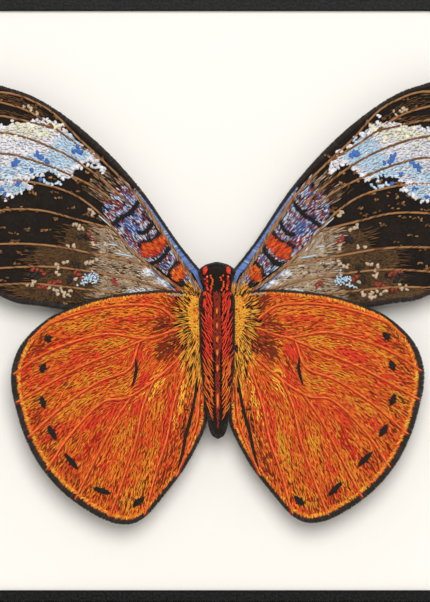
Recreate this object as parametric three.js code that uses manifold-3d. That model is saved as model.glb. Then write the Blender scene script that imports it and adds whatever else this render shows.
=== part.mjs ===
// A butterfly embroidered on black felt, held clear of a cream card in a thin black metal frame.
// Millimetres, +Z up. The front faces -Y, and the back of the frame lies on the wall, at Y = 0.
// The origin is on the wall, behind the notch of the toothed strip that hangs on the nail.
import * as THREE from 'three';
import { mergeVertices } from 'three/addons/utils/BufferGeometryUtils.js';
import Module from 'manifold-3d';

const wasm = await Module();
wasm.setup();

// Frame: mitred rails round an 8 by 10 inch opening
const OPENING_WIDTH = 241.3;
const OPENING_HEIGHT = 190.5;
const RAIL_FACE = 4;
const FRAME_DEPTH = 20;
const METAL = 1.4;
const ARRIS = 0.4;
const MITRE_GAP = 0.12;
const CHANNEL_WIDTH = 10;
const CHANNEL_FRONT = 12;
const BACK_LIP = 2.6;
const OUTER_WIDTH = OPENING_WIDTH + 2 * RAIL_FACE;
const OUTER_HEIGHT = OPENING_HEIGHT + 2 * RAIL_FACE;

// Card and board, held between the rails' front lip and the clips
const CARD_THICKNESS = 1.5;
const BOARD_THICKNESS = 2.5;
const SEAT_GAP = 0.1;
const EDGE_CLEARANCE = 0.5;
const CARD_FRONT = METAL + SEAT_GAP;
const BOARD_FRONT = CARD_FRONT + CARD_THICKNESS + SEAT_GAP;
const BOARD_BACK = BOARD_FRONT + BOARD_THICKNESS;

// Bowed clips, corner brackets and screws
const CLIP_LENGTH = 50;
const CLIP_WIDTH = 7;
const CLIP_METAL = 0.4;
const CLIP_STEPS = 12;
const CLIP_OFFSET = 62;
const CLIP_CLEARANCE = 0.15;
const BRACKET_LEG = 26;
const BRACKET_METAL = 2;
const BRACKET_BACK = 18.2;
const BRACKET_MARGIN = 0.3;
const SCREW_RADIUS = 1.8;
const SCREW_LENGTH = 4.6;
const SCREW_BACK = 18.4;
const SCREW_FROM_CORNER = 19;
const SCREW_HOLE_RADIUS = 2.1;

// Hanger: a strip in the top rail's channel, with teeth along the top of its window
const HANGER_LENGTH = 50;
const HANGER_METAL = 1.2;
const HANGER_BACK = 18.3;
const HANGER_MARGIN = 0.4;
const WINDOW_HALF = 16;
const WINDOW_BOTTOM = 6.9;
const TOOTH_PITCH = 4;
const TOOTH_DEPTH = 0.9;
const NOTCH_DROP = 3.7;

// Butterfly: felt wings with a raised satin border and vein cords, and a padded body
const STANDOFF = 7;
const GLUE_GAP = 0.3;
const MOUNT_TILT = 0.45;
const WING_LIFT = 2;
const FELT = 1;
const BORDER_RADIUS = 0.7;
const BORDER_HEIGHT = 0.8;
const CORD_RADIUS = 0.42;
const CORD_HEIGHT = 0.98;
const WING_STEP = FELT + 0.8;
const BORDER_STEPS = 48;
const CORD_STEP = 10;
const ROUND_STEPS = 3;

// Outlines of the right wings, from the body round the tip and back to the body.
// Each point is [out from the body's axis, up from the middle of the opening].
const FOREWING_OUTLINE = [
  [3.6, 8], [5.6, 10.1], [12.2, 18.3], [24.9, 36.7], [37.8, 50.9], [50.8, 61.7], [60.2, 67.3],
  [67.3, 69.8], [74.5, 71.6], [82.5, 71], [89.5, 67.5], [93.8, 62], [95.2, 55.5], [94, 46.5],
  [90.2, 35], [84.8, 22.5], [79.8, 11.5], [76, 5.4], [71.3, 2.4], [65, -0.2], [58.2, -1.1],
  [48.4, -2.6], [36, -3.6], [20, -3.8], [8, -2.8], [3.6, -1.8],
];
const HINDWING_OUTLINE = [
  [3.6, 1.2], [10.5, 2.9], [17.1, 3.4], [28.3, 2.6], [38.5, 1], [48.8, -2.4], [54.8, -5.3],
  [60.9, -10.3], [65.1, -15.8], [67.2, -22.5], [67.2, -28], [66, -34], [63.4, -42.9],
  [58.8, -52.4], [52.6, -60.3], [46.5, -65.6], [38, -70.8], [33, -72.5], [28.6, -72.6],
  [24.2, -70.4], [17.6, -63], [11.5, -55.1], [7.2, -47.5], [4.6, -40], [3.6, -34],
];

// Vein cords of the right wings, each from the wing's root side to its edge
const FOREWING_VEINS = [
  [[6.5, 4.5], [17.5, 22], [26, 34.5], [37, 46], [44.5, 53], [53.5, 62], [60.5, 67]],
  [[37, 46], [47.5, 53], [60.5, 62], [71, 65.5], [84, 68]],
  [[53.5, 57], [71, 61], [91, 61.5]],
  [[29, 32.5], [42, 43.5], [55, 51], [71, 55.5], [93.5, 52]],
  [[33, 32.5], [42, 38.5], [60.5, 46.5], [71, 48.5], [92, 43]],
  [[10.5, 2.8], [19, 9], [27, 16], [39.5, 30], [50, 36.5], [71, 40], [89.5, 35.5]],
  [[35, 24], [46, 27], [58, 30], [71, 30], [85.5, 26.5]],
  [[23, 12], [39.5, 15.5], [55.5, 18.5], [71, 19], [82, 17.5]],
  [[16, 3.5], [27, 7], [39.5, 9.5], [55.5, 11.5], [78.5, 10.8]],
  [[28, 1.8], [50.5, 5], [61, 6], [75, 5.6]],
];
const HINDWING_VEINS = [
  [[14, -5.5], [19, -2], [27.5, -1], [41, -2.5], [55.5, -7.5], [61, -12]],
  [[13, -9], [23, -12], [36, -10.5], [50, -14], [59.5, -18.5], [66, -23]],
  [[23, -12], [33.5, -16.5], [44.5, -21], [55, -26.5], [65.2, -32.3]],
  [[26, -14.5], [29, -22], [38.5, -26], [50, -33.5], [61.5, -43.5]],
  [[13.5, -19.5], [21, -26], [30, -31.5], [37, -32.5], [48.5, -43.5], [55.8, -54.2]],
  [[29, -32], [33.5, -38.5], [38.5, -48], [46.6, -63.8]],
  [[21, -26], [24.5, -34], [27, -45.5], [31, -57.5], [35.5, -69.5]],
  [[11, -22.5], [14.5, -33.5], [17, -45.5], [20.5, -56], [24, -69]],
  [[6, -28], [7, -40], [10.5, -49.5], [13.5, -56.5]],
];

// Body, from tail to head: [half width, up from the middle of the opening]
const BODY_PROFILE = [
  [0, -45.2], [1.8, -44.5], [3, -42.6], [3.5, -39.6], [4.3, -33], [5.1, -25], [5.75, -16],
  [5.85, -5], [5.8, 1], [5, 2.6], [4.3, 4], [5.2, 6.6], [6.2, 9.6], [4.9, 11], [3, 12.1], [0, 12.7],
];
const BODY_SEGMENTS = 20;
const BODY_FLATNESS = 0.75;
const BODY_CENTRE = 3.5;
const BODY_UNDERSIDE = 3.8;
const KEEL_WIDTH = 5.6;
const KEEL_TOP = 9;
const KEEL_TAIL = -39;
const KEEL_OVERLAP = 0.8;

// Foam pads between the butterfly and the card
const PAD_RADIUS = 9;
const PAD_SIDES = 16;
const FOREWING_PAD = [42, 26];
const HINDWING_PAD = [34, -34];
const BODY_PAD = { width: 5, height: 40, centre: -15 };

const BLACK_METAL = { color: 0x2a2a2c, roughness: 0.55, metalness: 0.3 };
const STEEL = { color: 0xb4b6b8, roughness: 0.35, metalness: 0.9 };
const CREAM_CARD = { color: 0xf7f2e2, roughness: 0.9, metalness: 0 };
const BROWN_BOARD = { color: 0x7a5a3c, roughness: 0.85, metalness: 0 };
const BLACK_FELT = { color: 0x26211f, roughness: 0.95, metalness: 0 };
const DARK_WING = { color: 0x4a3c30, roughness: 0.8, metalness: 0 };
const ORANGE_WING = { color: 0xd8651c, roughness: 0.75, metalness: 0 };
const WHITE_FOAM = { color: 0xe6e4de, roughness: 0.95, metalness: 0 };

const object = new THREE.Group();

// Frame parts hang from a group at the middle of the face of the frame
const frame = new THREE.Group();
frame.position.set(0, -FRAME_DEPTH, NOTCH_DROP - OUTER_HEIGHT / 2);
object.add(frame);

function addMesh(parent, name, geometry, finish) {
  const mesh = new THREE.Mesh(geometry, new THREE.MeshStandardMaterial(finish));
  mesh.name = name;
  parent.add(mesh);
  return mesh;
}

function shapeOf(points) {
  return new THREE.Shape(points.map(([x, y]) => new THREE.Vector2(x, y)));
}

// Joining and cutting

function toSolid(geometry) {
  const bare = geometry.clone();
  bare.deleteAttribute('normal');
  bare.deleteAttribute('uv');
  const merged = mergeVertices(bare);
  const corners = merged.index.array;
  const triangles = [];
  for (let i = 0; i < corners.length; i += 3) {
    const [a, b, c] = corners.slice(i, i + 3);
    if (a !== b && b !== c && c !== a) triangles.push(a, b, c);
  }
  return new wasm.Manifold(new wasm.Mesh({
    numProp: 3,
    vertProperties: new Float32Array(merged.attributes.position.array),
    triVerts: new Uint32Array(triangles),
  }));
}

function toGeometry(solid) {
  const mesh = solid.getMesh();
  const geometry = new THREE.BufferGeometry();
  geometry.setAttribute('position', new THREE.BufferAttribute(mesh.vertProperties, 3));
  geometry.setIndex(new THREE.BufferAttribute(mesh.triVerts, 1));
  geometry.computeVertexNormals();
  return geometry;
}

function joined(geometries) {
  const [first, ...others] = geometries.map(toSolid);
  return others.reduce((whole, solid) => whole.add(solid), first);
}

// Frame rails. A side's group turns about the middle of the frame, so that its own X runs in
// from the outer edge, its Y back from the face and its Z along the rail.
const SIDES = [
  { name: 'top', turn: 90, half: OUTER_HEIGHT / 2, length: OUTER_WIDTH, clips: [-CLIP_OFFSET, CLIP_OFFSET] },
  { name: 'left', turn: 0, half: OUTER_WIDTH / 2, length: OUTER_HEIGHT, clips: [0] },
  { name: 'bottom', turn: -90, half: OUTER_HEIGHT / 2, length: OUTER_WIDTH, clips: [-CLIP_OFFSET, CLIP_OFFSET] },
  { name: 'right', turn: 180, half: OUTER_WIDTH / 2, length: OUTER_HEIGHT, clips: [0] },
];

// The rail's section: a front lip, an outer wall, and a channel at the back that opens backwards
function railSection() {
  const channelInner = CHANNEL_WIDTH - METAL;
  const lipFront = FRAME_DEPTH - METAL;
  return shapeOf([
    [ARRIS, 0], [RAIL_FACE - ARRIS, 0], [RAIL_FACE, ARRIS], [RAIL_FACE, METAL], [METAL, METAL],
    [METAL, CHANNEL_FRONT], [CHANNEL_WIDTH, CHANNEL_FRONT], [CHANNEL_WIDTH, FRAME_DEPTH],
    [CHANNEL_WIDTH - BACK_LIP, FRAME_DEPTH], [CHANNEL_WIDTH - BACK_LIP, lipFront],
    [channelInner, lipFront], [channelInner, CHANNEL_FRONT + METAL],
    [METAL, CHANNEL_FRONT + METAL], [METAL, lipFront], [BACK_LIP, lipFront],
    [BACK_LIP, FRAME_DEPTH], [ARRIS, FRAME_DEPTH], [0, FRAME_DEPTH - ARRIS], [0, ARRIS],
  ]);
}

// The extruded rail, with each end sheared back by its distance from the outer edge: a mitre
function railGeometry(length) {
  const geometry = new THREE.ExtrudeGeometry(railSection(), { depth: length, bevelEnabled: false });
  const place = geometry.attributes.position;
  for (let i = 0; i < place.count; i += 1) {
    const reach = length / 2 - place.getX(i) - MITRE_GAP;
    place.setZ(i, place.getZ(i) > length / 2 ? reach : -reach);
  }
  return geometry;
}

// A bowed strip of spring steel: its middle presses on the board and its ends on the channel
function clipGeometry() {
  const low = BOARD_BACK + CLIP_CLEARANCE;
  const high = CHANNEL_FRONT - CLIP_METAL - CLIP_CLEARANCE;
  const front = [];
  const back = [];
  for (let i = 0; i <= CLIP_STEPS; i += 1) {
    const along = CLIP_LENGTH * (i / CLIP_STEPS - 0.5);
    const depth = high - (high - low) * Math.cos(Math.PI * along / CLIP_LENGTH);
    front.push([along, depth]);
    back.unshift([along, depth + CLIP_METAL]);
  }
  const strip = shapeOf([...front, ...back]);
  return new THREE.ExtrudeGeometry(strip, { depth: CLIP_WIDTH, bevelEnabled: false })
    .rotateY(Math.PI / 2)
    .translate(METAL + CLIP_CLEARANCE, 0, 0);
}

function addSide({ name, turn, half, length, clips }) {
  const side = new THREE.Group();
  side.rotation.y = THREE.MathUtils.degToRad(turn);
  frame.add(side);
  addMesh(side, `frame_rail_${name}`, railGeometry(length).translate(-half, 0, 0), BLACK_METAL);
  clips.forEach((along, number) => {
    const label = clips.length > 1 ? `spring_clip_${name}_${number + 1}` : `spring_clip_${name}`;
    addMesh(side, label, clipGeometry().translate(-half, 0, along), STEEL);
  });
}

// Corner brackets and their screws. A corner's group stands on the frame's outer corner.
const CORNERS = [
  { name: 'bottom_left', turn: 0, x: -1, z: -1 },
  { name: 'top_left', turn: 90, x: -1, z: 1 },
  { name: 'top_right', turn: 180, x: 1, z: 1 },
  { name: 'bottom_right', turn: 270, x: 1, z: -1 },
];

function bracketGeometry() {
  const near = METAL + BRACKET_MARGIN;
  const far = CHANNEL_WIDTH - METAL - BRACKET_MARGIN;
  const plate = shapeOf([
    [near, near], [BRACKET_LEG, near], [BRACKET_LEG, far], [far, far], [far, BRACKET_LEG], [near, BRACKET_LEG],
  ]);
  for (const [x, y] of screwPlaces()) {
    plate.holes.push(new THREE.Path().absarc(x, y, SCREW_HOLE_RADIUS, 0, 2 * Math.PI));
  }
  return new THREE.ExtrudeGeometry(plate, { depth: BRACKET_METAL, bevelEnabled: false, curveSegments: 6 })
    .rotateX(Math.PI / 2)
    .translate(0, BRACKET_BACK, 0);
}

function screwPlaces() {
  return [[CHANNEL_WIDTH / 2, SCREW_FROM_CORNER], [SCREW_FROM_CORNER, CHANNEL_WIDTH / 2]];
}

function addCorner({ name, turn, x, z }) {
  const corner = new THREE.Group();
  corner.position.set(x * OUTER_WIDTH / 2, 0, z * OUTER_HEIGHT / 2);
  corner.rotation.y = THREE.MathUtils.degToRad(turn);
  frame.add(corner);
  addMesh(corner, `corner_bracket_${name}`, bracketGeometry(), STEEL);
  screwPlaces().forEach(([across, along], number) => {
    const screw = new THREE.CylinderGeometry(SCREW_RADIUS, SCREW_RADIUS, SCREW_LENGTH, 12);
    screw.translate(across, SCREW_BACK - SCREW_LENGTH / 2, along);
    addMesh(corner, `bracket_screw_${name}_${number + 1}`, screw, STEEL);
  });
}

// Toothed hanger strip, inside the top rail's channel
function hangerGeometry() {
  const near = METAL + HANGER_MARGIN;
  const far = CHANNEL_WIDTH - METAL - HANGER_MARGIN;
  const half = HANGER_LENGTH / 2;
  const strip = shapeOf([[near, -half], [far, -half], [far, half], [near, half]]);
  const window = [[WINDOW_BOTTOM, -WINDOW_HALF], [WINDOW_BOTTOM, WINDOW_HALF]];
  for (let along = WINDOW_HALF; along > -WINDOW_HALF; along -= TOOTH_PITCH) {
    window.push([NOTCH_DROP + TOOTH_DEPTH, along], [NOTCH_DROP, along - TOOTH_PITCH / 2]);
  }
  window.push([NOTCH_DROP + TOOTH_DEPTH, -WINDOW_HALF]);
  strip.holes.push(new THREE.Path(window.map(([x, y]) => new THREE.Vector2(x, y))));
  return new THREE.ExtrudeGeometry(strip, { depth: HANGER_METAL, bevelEnabled: false })
    .rotateX(Math.PI / 2)
    .translate(-OUTER_HEIGHT / 2, HANGER_BACK, 0)
    .rotateY(Math.PI / 2);
}

// A sheet that lies inside the rails
function sheetGeometry(front, thickness) {
  const margin = 2 * (METAL + EDGE_CLEARANCE);
  return new THREE.BoxGeometry(OUTER_WIDTH - margin, thickness, OUTER_HEIGHT - margin)
    .translate(0, front + thickness / 2, 0);
}

SIDES.forEach(addSide);
CORNERS.forEach(addCorner);
addMesh(frame, 'hanger_strip', hangerGeometry(), STEEL);
addMesh(frame, 'mount_card', sheetGeometry(CARD_FRONT, CARD_THICKNESS), CREAM_CARD);
addMesh(frame, 'backing_board', sheetGeometry(BOARD_FRONT, BOARD_THICKNESS), BROWN_BOARD);

// Butterfly. Its group lies on the card: X across, Y up and Z out from the card.
const butterfly = new THREE.Group();
butterfly.position.y = CARD_FRONT;
butterfly.rotation.set(Math.PI / 2, 0, 0);
frame.add(butterfly);
const specimen = new THREE.Group();
specimen.rotation.z = THREE.MathUtils.degToRad(MOUNT_TILT);
butterfly.add(specimen);

// Evenly spaced points along a smooth line through hand-placed points, mirrored for a left wing
function smoothLine(points, side, steps) {
  const placed = points.map(([out, up]) => new THREE.Vector3(side * out, up, 0));
  return new THREE.CatmullRomCurve3(placed, false, 'centripetal').getSpacedPoints(steps);
}

// The same line moved in from the edge. An outline runs clockwise on a right wing.
function insetLine(line, side, distance) {
  return line.map((point, i) => {
    const before = line[Math.max(i - 1, 0)];
    const after = line[Math.min(i + 1, line.length - 1)];
    const along = new THREE.Vector3().subVectors(after, before).normalize();
    return new THREE.Vector3(point.x + side * along.y * distance, point.y - side * along.x * distance, 0);
  });
}

// A round cord along a line of points, at one height above the felt's back
function cordGeometry(line, radius, height, steps) {
  const path = new THREE.CatmullRomCurve3(line, false, 'centripetal');
  const round = new THREE.Shape().absarc(0, 0, radius, 0, 2 * Math.PI);
  return new THREE.ExtrudeGeometry(round, { steps, extrudePath: path, curveSegments: ROUND_STEPS })
    .translate(0, 0, height);
}

function veinGeometry(points, side) {
  const placed = points.map(([out, up]) => new THREE.Vector3(side * out, up, 0));
  const length = new THREE.CatmullRomCurve3(placed, false, 'centripetal').getLength();
  return cordGeometry(placed, CORD_RADIUS, CORD_HEIGHT, Math.round(length / CORD_STEP));
}

function wingGeometry(outline, veins, side) {
  const edge = insetLine(smoothLine(outline, side, BORDER_STEPS), side, BORDER_RADIUS);
  const felt = new THREE.ExtrudeGeometry(new THREE.Shape(edge), { depth: FELT, bevelEnabled: false });
  const border = cordGeometry(edge, BORDER_RADIUS, BORDER_HEIGHT, BORDER_STEPS);
  const cords = veins.map((points) => veinGeometry(points, side));
  return toGeometry(joined([felt, border, ...cords]));
}

// A pad stands on the card and ends just below the wing's back at the pad's inner edge
function padGeometry([out, up], wingBack, side) {
  const rise = (out - PAD_RADIUS) * Math.sin(THREE.MathUtils.degToRad(WING_LIFT));
  const height = wingBack + rise - 2 * GLUE_GAP;
  return new THREE.CylinderGeometry(PAD_RADIUS, PAD_RADIUS, height, PAD_SIDES)
    .rotateX(Math.PI / 2)
    .translate(side * out, up, GLUE_GAP + height / 2);
}

function addWing(name, outline, veins, side, back, finish) {
  const wing = new THREE.Group();
  wing.position.z = back;
  wing.rotation.y = -side * THREE.MathUtils.degToRad(WING_LIFT);
  specimen.add(wing);
  addMesh(wing, name, wingGeometry(outline, veins, side), finish);
}

// The padded body: a flattened turned form, cut flat above the wings, with a keel between them
function bodyGeometry() {
  const profile = BODY_PROFILE.map(([half, up]) => new THREE.Vector2(half, up));
  const form = new THREE.LatheGeometry(profile, BODY_SEGMENTS)
    .scale(1, 1, BODY_FLATNESS)
    .translate(0, 0, BODY_CENTRE);
  const below = new THREE.BoxGeometry(4 * KEEL_WIDTH, 4 * OPENING_HEIGHT, 2 * BODY_UNDERSIDE);
  const keelHeight = BODY_UNDERSIDE + KEEL_OVERLAP;
  const keel = new THREE.BoxGeometry(KEEL_WIDTH, KEEL_TOP - KEEL_TAIL, keelHeight)
    .translate(0, (KEEL_TOP + KEEL_TAIL) / 2, keelHeight / 2);
  return toGeometry(toSolid(form).subtract(toSolid(below)).add(toSolid(keel)));
}

for (const [sideName, side] of [['left', -1], ['right', 1]]) {
  addWing(`forewing_${sideName}`, FOREWING_OUTLINE, FOREWING_VEINS, side, STANDOFF, DARK_WING);
  addWing(`hindwing_${sideName}`, HINDWING_OUTLINE, HINDWING_VEINS, side, STANDOFF + WING_STEP, ORANGE_WING);
  addMesh(specimen, `foam_pad_forewing_${sideName}`, padGeometry(FOREWING_PAD, STANDOFF, side), WHITE_FOAM);
  addMesh(specimen, `foam_pad_hindwing_${sideName}`, padGeometry(HINDWING_PAD, STANDOFF + WING_STEP, side),
    WHITE_FOAM);
}

addMesh(specimen, 'body', bodyGeometry().translate(0, 0, STANDOFF), BLACK_FELT);

const bodyPad = new THREE.BoxGeometry(BODY_PAD.width, BODY_PAD.height, STANDOFF - 2 * GLUE_GAP)
  .translate(0, BODY_PAD.centre, STANDOFF / 2);
addMesh(specimen, 'foam_pad_body', bodyPad, WHITE_FOAM);

export default object;
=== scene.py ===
# A butterfly embroidered in thread on black felt, clear of a cream card in a thin black metal frame.
# Metres, with the front facing -Y. Places on a wing are in millimetres, [out from the body's axis,
# up from the middle of the card], and are those of a right wing: a left wing mirrors them.
import math
import bpy
import bmesh
import numpy as np
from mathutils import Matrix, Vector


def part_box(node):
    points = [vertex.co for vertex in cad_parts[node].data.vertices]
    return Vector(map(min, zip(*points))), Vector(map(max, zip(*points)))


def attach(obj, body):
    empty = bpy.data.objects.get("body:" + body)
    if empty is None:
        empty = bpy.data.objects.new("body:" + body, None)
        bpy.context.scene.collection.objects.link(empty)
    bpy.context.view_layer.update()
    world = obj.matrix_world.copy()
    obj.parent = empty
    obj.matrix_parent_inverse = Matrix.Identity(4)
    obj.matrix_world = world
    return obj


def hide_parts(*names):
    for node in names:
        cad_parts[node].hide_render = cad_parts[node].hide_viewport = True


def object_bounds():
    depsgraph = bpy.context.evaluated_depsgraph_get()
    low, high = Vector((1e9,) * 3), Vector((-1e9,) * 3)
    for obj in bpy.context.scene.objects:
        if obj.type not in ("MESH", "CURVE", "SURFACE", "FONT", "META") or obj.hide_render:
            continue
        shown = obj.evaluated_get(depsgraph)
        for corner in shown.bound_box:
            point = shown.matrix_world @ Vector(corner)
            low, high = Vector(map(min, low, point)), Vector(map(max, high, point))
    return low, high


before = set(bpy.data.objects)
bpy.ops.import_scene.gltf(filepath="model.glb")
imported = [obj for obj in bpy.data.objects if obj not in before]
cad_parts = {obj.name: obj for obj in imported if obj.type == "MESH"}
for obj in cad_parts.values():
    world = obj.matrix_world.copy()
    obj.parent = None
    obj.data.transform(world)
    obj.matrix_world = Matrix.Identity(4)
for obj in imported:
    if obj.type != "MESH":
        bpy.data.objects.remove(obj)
cad_low, cad_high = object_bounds()

MM = 0.001
SIDES = {"left": -1, "right": 1}

# Camera and light
VIEW_DISTANCE = 1.6
VIEW_ACROSS = -0.00066
VIEW_DROP = 0.00013
VIEW_HEIGHT = 0.19806
SENSOR = 36
KEY_TURN = (22, 4)
KEY_DISTANCE = 3.2
KEY_SIZE = 2.1
KEY_POWER = 74.5
SKY_STRENGTH = 0.4
FLOOR_HALF = 2.5
FLOOR_GAP = 0.0004

# How the butterfly stands on the card
STANDOFF = 7
MOUNT_TILT = math.radians(0.45)
WING_LIFT = math.radians(2)
WING_STEP = 1.8
FELT = 1
GLUE_GAP = 0.3

# Thread
FINE = 0.34
STOUT = 0.46
SATIN_PITCH = 0.4
ACROSS = [1.0, 0.0]
DOWN = [0.0, -1.0]

# Outlines and veins of a right wing
FOREWING_OUTLINE = [
    [3.6, 8], [5.6, 10.1], [12.2, 18.3], [24.9, 36.7], [37.8, 50.9], [50.8, 61.7], [60.2, 67.3],
    [67.3, 69.8], [74.5, 71.6], [82.5, 71], [89.5, 67.5], [93.8, 62], [95.2, 55.5], [94, 46.5],
    [90.2, 35], [84.8, 22.5], [79.8, 11.5], [76, 5.4], [71.3, 2.4], [65, -0.2], [58.2, -1.1],
    [48.4, -2.6], [36, -3.6], [20, -3.8], [8, -2.8], [3.6, -1.8],
]
HINDWING_OUTLINE = [
    [3.6, 1.2], [10.5, 2.9], [17.1, 3.4], [28.3, 2.6], [38.5, 1], [48.8, -2.4], [54.8, -5.3],
    [60.9, -10.3], [65.1, -15.8], [67.2, -22.5], [67.2, -28], [66, -34], [63.4, -42.9],
    [58.8, -52.4], [52.6, -60.3], [46.5, -65.6], [38, -70.8], [33, -72.5], [28.6, -72.6],
    [24.2, -70.4], [17.6, -63], [11.5, -55.1], [7.1, -47.5], [3.9, -40], [3.6, -34],
]
FOREWING_VEINS = [
    [[6.5, 4.5], [17.5, 22], [26, 34.5], [37, 46], [44.5, 53], [53.5, 62], [60.5, 66], [67, 68.2],
     [78, 69]],
    [[37, 46], [47.5, 53], [60.5, 62], [71, 65.5], [84, 68]],
    [[53.5, 57], [71, 61], [91, 61.5]],
    [[29, 32.5], [42, 43.5], [55, 51], [71, 55.5], [93.5, 52]],
    [[33, 32.5], [42, 38.5], [60.5, 46.5], [71, 48.5], [92, 43]],
    [[10.5, 2.8], [19, 9], [27, 16], [39.5, 30], [50, 36.5], [71, 40], [89.5, 35.5]],
    [[35, 24], [46, 27], [58, 30], [71, 30], [85.5, 26.5]],
    [[23, 12], [39.5, 15.5], [55.5, 18.5], [71, 19], [82, 17.5]],
    [[16, 3.5], [27, 7], [39.5, 9.5], [55.5, 11.5], [78.5, 10.8]],
    [[28, 1.8], [50.5, 5], [61, 6], [75, 5.6]],
]
HINDWING_VEINS = [
    [[14, -5.5], [19, -2], [27.5, -1], [41, -2.5], [55.5, -7.5], [61, -12]],
    [[13, -9], [23, -12], [36, -10.5], [50, -14], [59.5, -18.5], [66, -23]],
    [[23, -12], [33.5, -16.5], [44.5, -21], [55, -26.5], [65.2, -32.3]],
    [[26, -14.5], [29, -22], [38.5, -26], [50, -33.5], [61.5, -43.5]],
    [[13.5, -19.5], [21, -26], [30, -31.5], [37, -32.5], [48.5, -43.5], [55.8, -54.2]],
    [[29, -32], [33.5, -38.5], [38.5, -48], [46.6, -63.8]],
    [[21, -26], [24.5, -34], [27, -45.5], [31, -57.5], [35.5, -69.5]],
    [[11, -22.5], [14.5, -33.5], [17, -45.5], [20.5, -56], [24, -69]],
    [[6, -28], [7, -40], [10.5, -49.5], [13.5, -56.5]],
]


def dye(red, green, blue):
    """A thread's colour from its shade under white light, 0 to 255, as Blender's linear numbers."""
    shade = np.array([red, green, blue]) / 255
    return np.where(shade > 0.04045, ((shade + 0.055) / 1.055) ** 2.4, shade / 12.92)


THREADS = {
    "black": dye(32, 27, 26),
    "charcoal": dye(56, 50, 48),
    "onyx": dye(44, 38, 35),
    "orange": dye(222, 100, 30),
    "amber": dye(234, 134, 40),
    "gold": dye(246, 184, 60),
    "coral": dye(238, 120, 52),
    "honey": dye(226, 150, 40),
    "scarlet": dye(224, 66, 36),
    "red": dye(198, 34, 20),
    "rust": dye(132, 48, 20),
    "brick": dye(146, 44, 26),
    "ember": dye(178, 66, 22),
    "soot": dye(62, 26, 16),
    "tan": dye(158, 114, 72),
    "umber": dye(116, 74, 38),
    "brown": dye(104, 76, 47),
    "dark_brown": dye(72, 52, 33),
    "taupe": dye(172, 148, 122),
    "beige": dye(192, 170, 143),
    "white": dye(224, 223, 228),
    "lavender": dye(206, 205, 213),
    "ash": dye(214, 212, 214),
    "cream": dye(224, 221, 196),
    "sky": dye(184, 208, 226),
    "blue": dye(68, 110, 182),
    "periwinkle": dye(116, 142, 200),
    "crimson": dye(156, 60, 48),
    "slate": dye(46, 42, 52),
}


# Lines and places

def evenly(line, spacing):
    steps = np.linalg.norm(np.diff(line, axis=0), axis=1)
    along = np.concatenate([[0], np.cumsum(steps)])
    wanted = np.linspace(0, along[-1], max(int(round(along[-1] / spacing)), 1) + 1)
    return np.column_stack([np.interp(wanted, along, part) for part in line.T])


def smooth_line(points, spacing=0.5):
    """Evenly spaced places on a smooth line through given points, as a centripetal spline."""
    given = np.array(points, float)
    given = np.vstack([2 * given[0] - given[1], given, 2 * given[-1] - given[-2]])
    stretches = []
    for a, b, c, d in zip(given, given[1:], given[2:], given[3:]):
        knots = np.cumsum([0] + [np.linalg.norm(q - p) ** 0.5 for p, q in ((a, b), (b, c), (c, d))])
        k0, k1, k2, k3 = knots
        t = np.linspace(k1, k2, 16, endpoint=False)[:, None]
        ab = ((k1 - t) * a + (t - k0) * b) / (k1 - k0)
        bc = ((k2 - t) * b + (t - k1) * c) / (k2 - k1)
        cd = ((k3 - t) * c + (t - k2) * d) / (k3 - k2)
        abc = ((k2 - t) * ab + (t - k0) * bc) / (k2 - k0)
        bcd = ((k3 - t) * bc + (t - k1) * cd) / (k3 - k1)
        stretches.append(((k2 - t) * abc + (t - k1) * bcd) / (k2 - k1))
    return evenly(np.vstack(stretches + [given[-2:-1]]), spacing)


def headings(line):
    ways = np.gradient(line, axis=0)
    return ways / np.linalg.norm(ways, axis=1, keepdims=True)


def way_at(degrees):
    angle = math.radians(degrees)
    return np.array([[math.cos(angle), math.sin(angle)]])


def left_of(ways):
    return np.column_stack([-ways[:, 1], ways[:, 0]])


def moved_in(line, distance):
    """A wing's outline runs clockwise on a right wing, so its inner side is on the right."""
    return line - left_of(headings(line)) * np.reshape(distance, (-1, 1))


def within(places, outline):
    """True for each place inside a closed outline."""
    x, y = places.T
    found = np.zeros(len(places), bool)
    for (x0, y0), (x1, y1) in zip(outline, np.roll(outline, -1, axis=0)):
        if y0 == y1:
            continue
        crosses = (y0 > y) != (y1 > y)
        found ^= crosses & (x < (x1 - x0) * (y - y0) / (y1 - y0) + x0)
    return found


def nearest(places, line):
    """Each place's distance to a line, and which of the line's points is the nearest."""
    apart = np.linalg.norm(places[:, None] - line[None], axis=2)
    return apart.min(1), apart.argmin(1)


def scattered(outline, spacing, rng, jitter=0.35):
    """Places in loosened rows inside an outline."""
    low, high = outline.min(0), outline.max(0)
    across = np.arange(low[0], high[0], spacing)
    rows = np.arange(low[1], high[1], spacing * 0.87)
    x, y = np.meshgrid(across, rows)
    x = x + (np.arange(len(rows)) % 2)[:, None] * spacing / 2
    places = np.column_stack([x.ravel(), y.ravel()])
    places += rng.normal(0, jitter * spacing, places.shape)
    return places[within(places, outline)]


def grain(places, lines):
    """The way that stitches run: the headings of the veins, the nearest counting most."""
    total = np.zeros_like(places)
    for line in lines:
        distance, index = nearest(places, line)
        total += headings(line)[index] / ((distance ** 2 + 1) ** 2)[:, None]
    return total / np.linalg.norm(total, axis=1, keepdims=True)


def turned(ways, angles):
    c, s = np.cos(angles), np.sin(angles)
    x, y = ways.T
    return np.column_stack([x * c - y * s, x * s + y * c])


def mottle(places, size, rng):
    """Soft patches of a given size, from 0 to 1, for colour that comes in clusters."""
    steps = (places - places.min(0)) / size
    values = rng.random(np.ceil(steps.max(0)).astype(int) + 2)
    low = np.floor(steps).astype(int)
    blend = steps - low
    blend = blend * blend * (3 - 2 * blend)
    x, y = low.T
    u, v = blend.T
    under = values[x, y] * (1 - u) + values[x + 1, y] * u
    over = values[x, y + 1] * (1 - u) + values[x + 1, y + 1] * u
    return under * (1 - v) + over * v


# Stitches: rows of [place (3), way (3), length, width, colour (3)], in a wing's own millimetres

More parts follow.
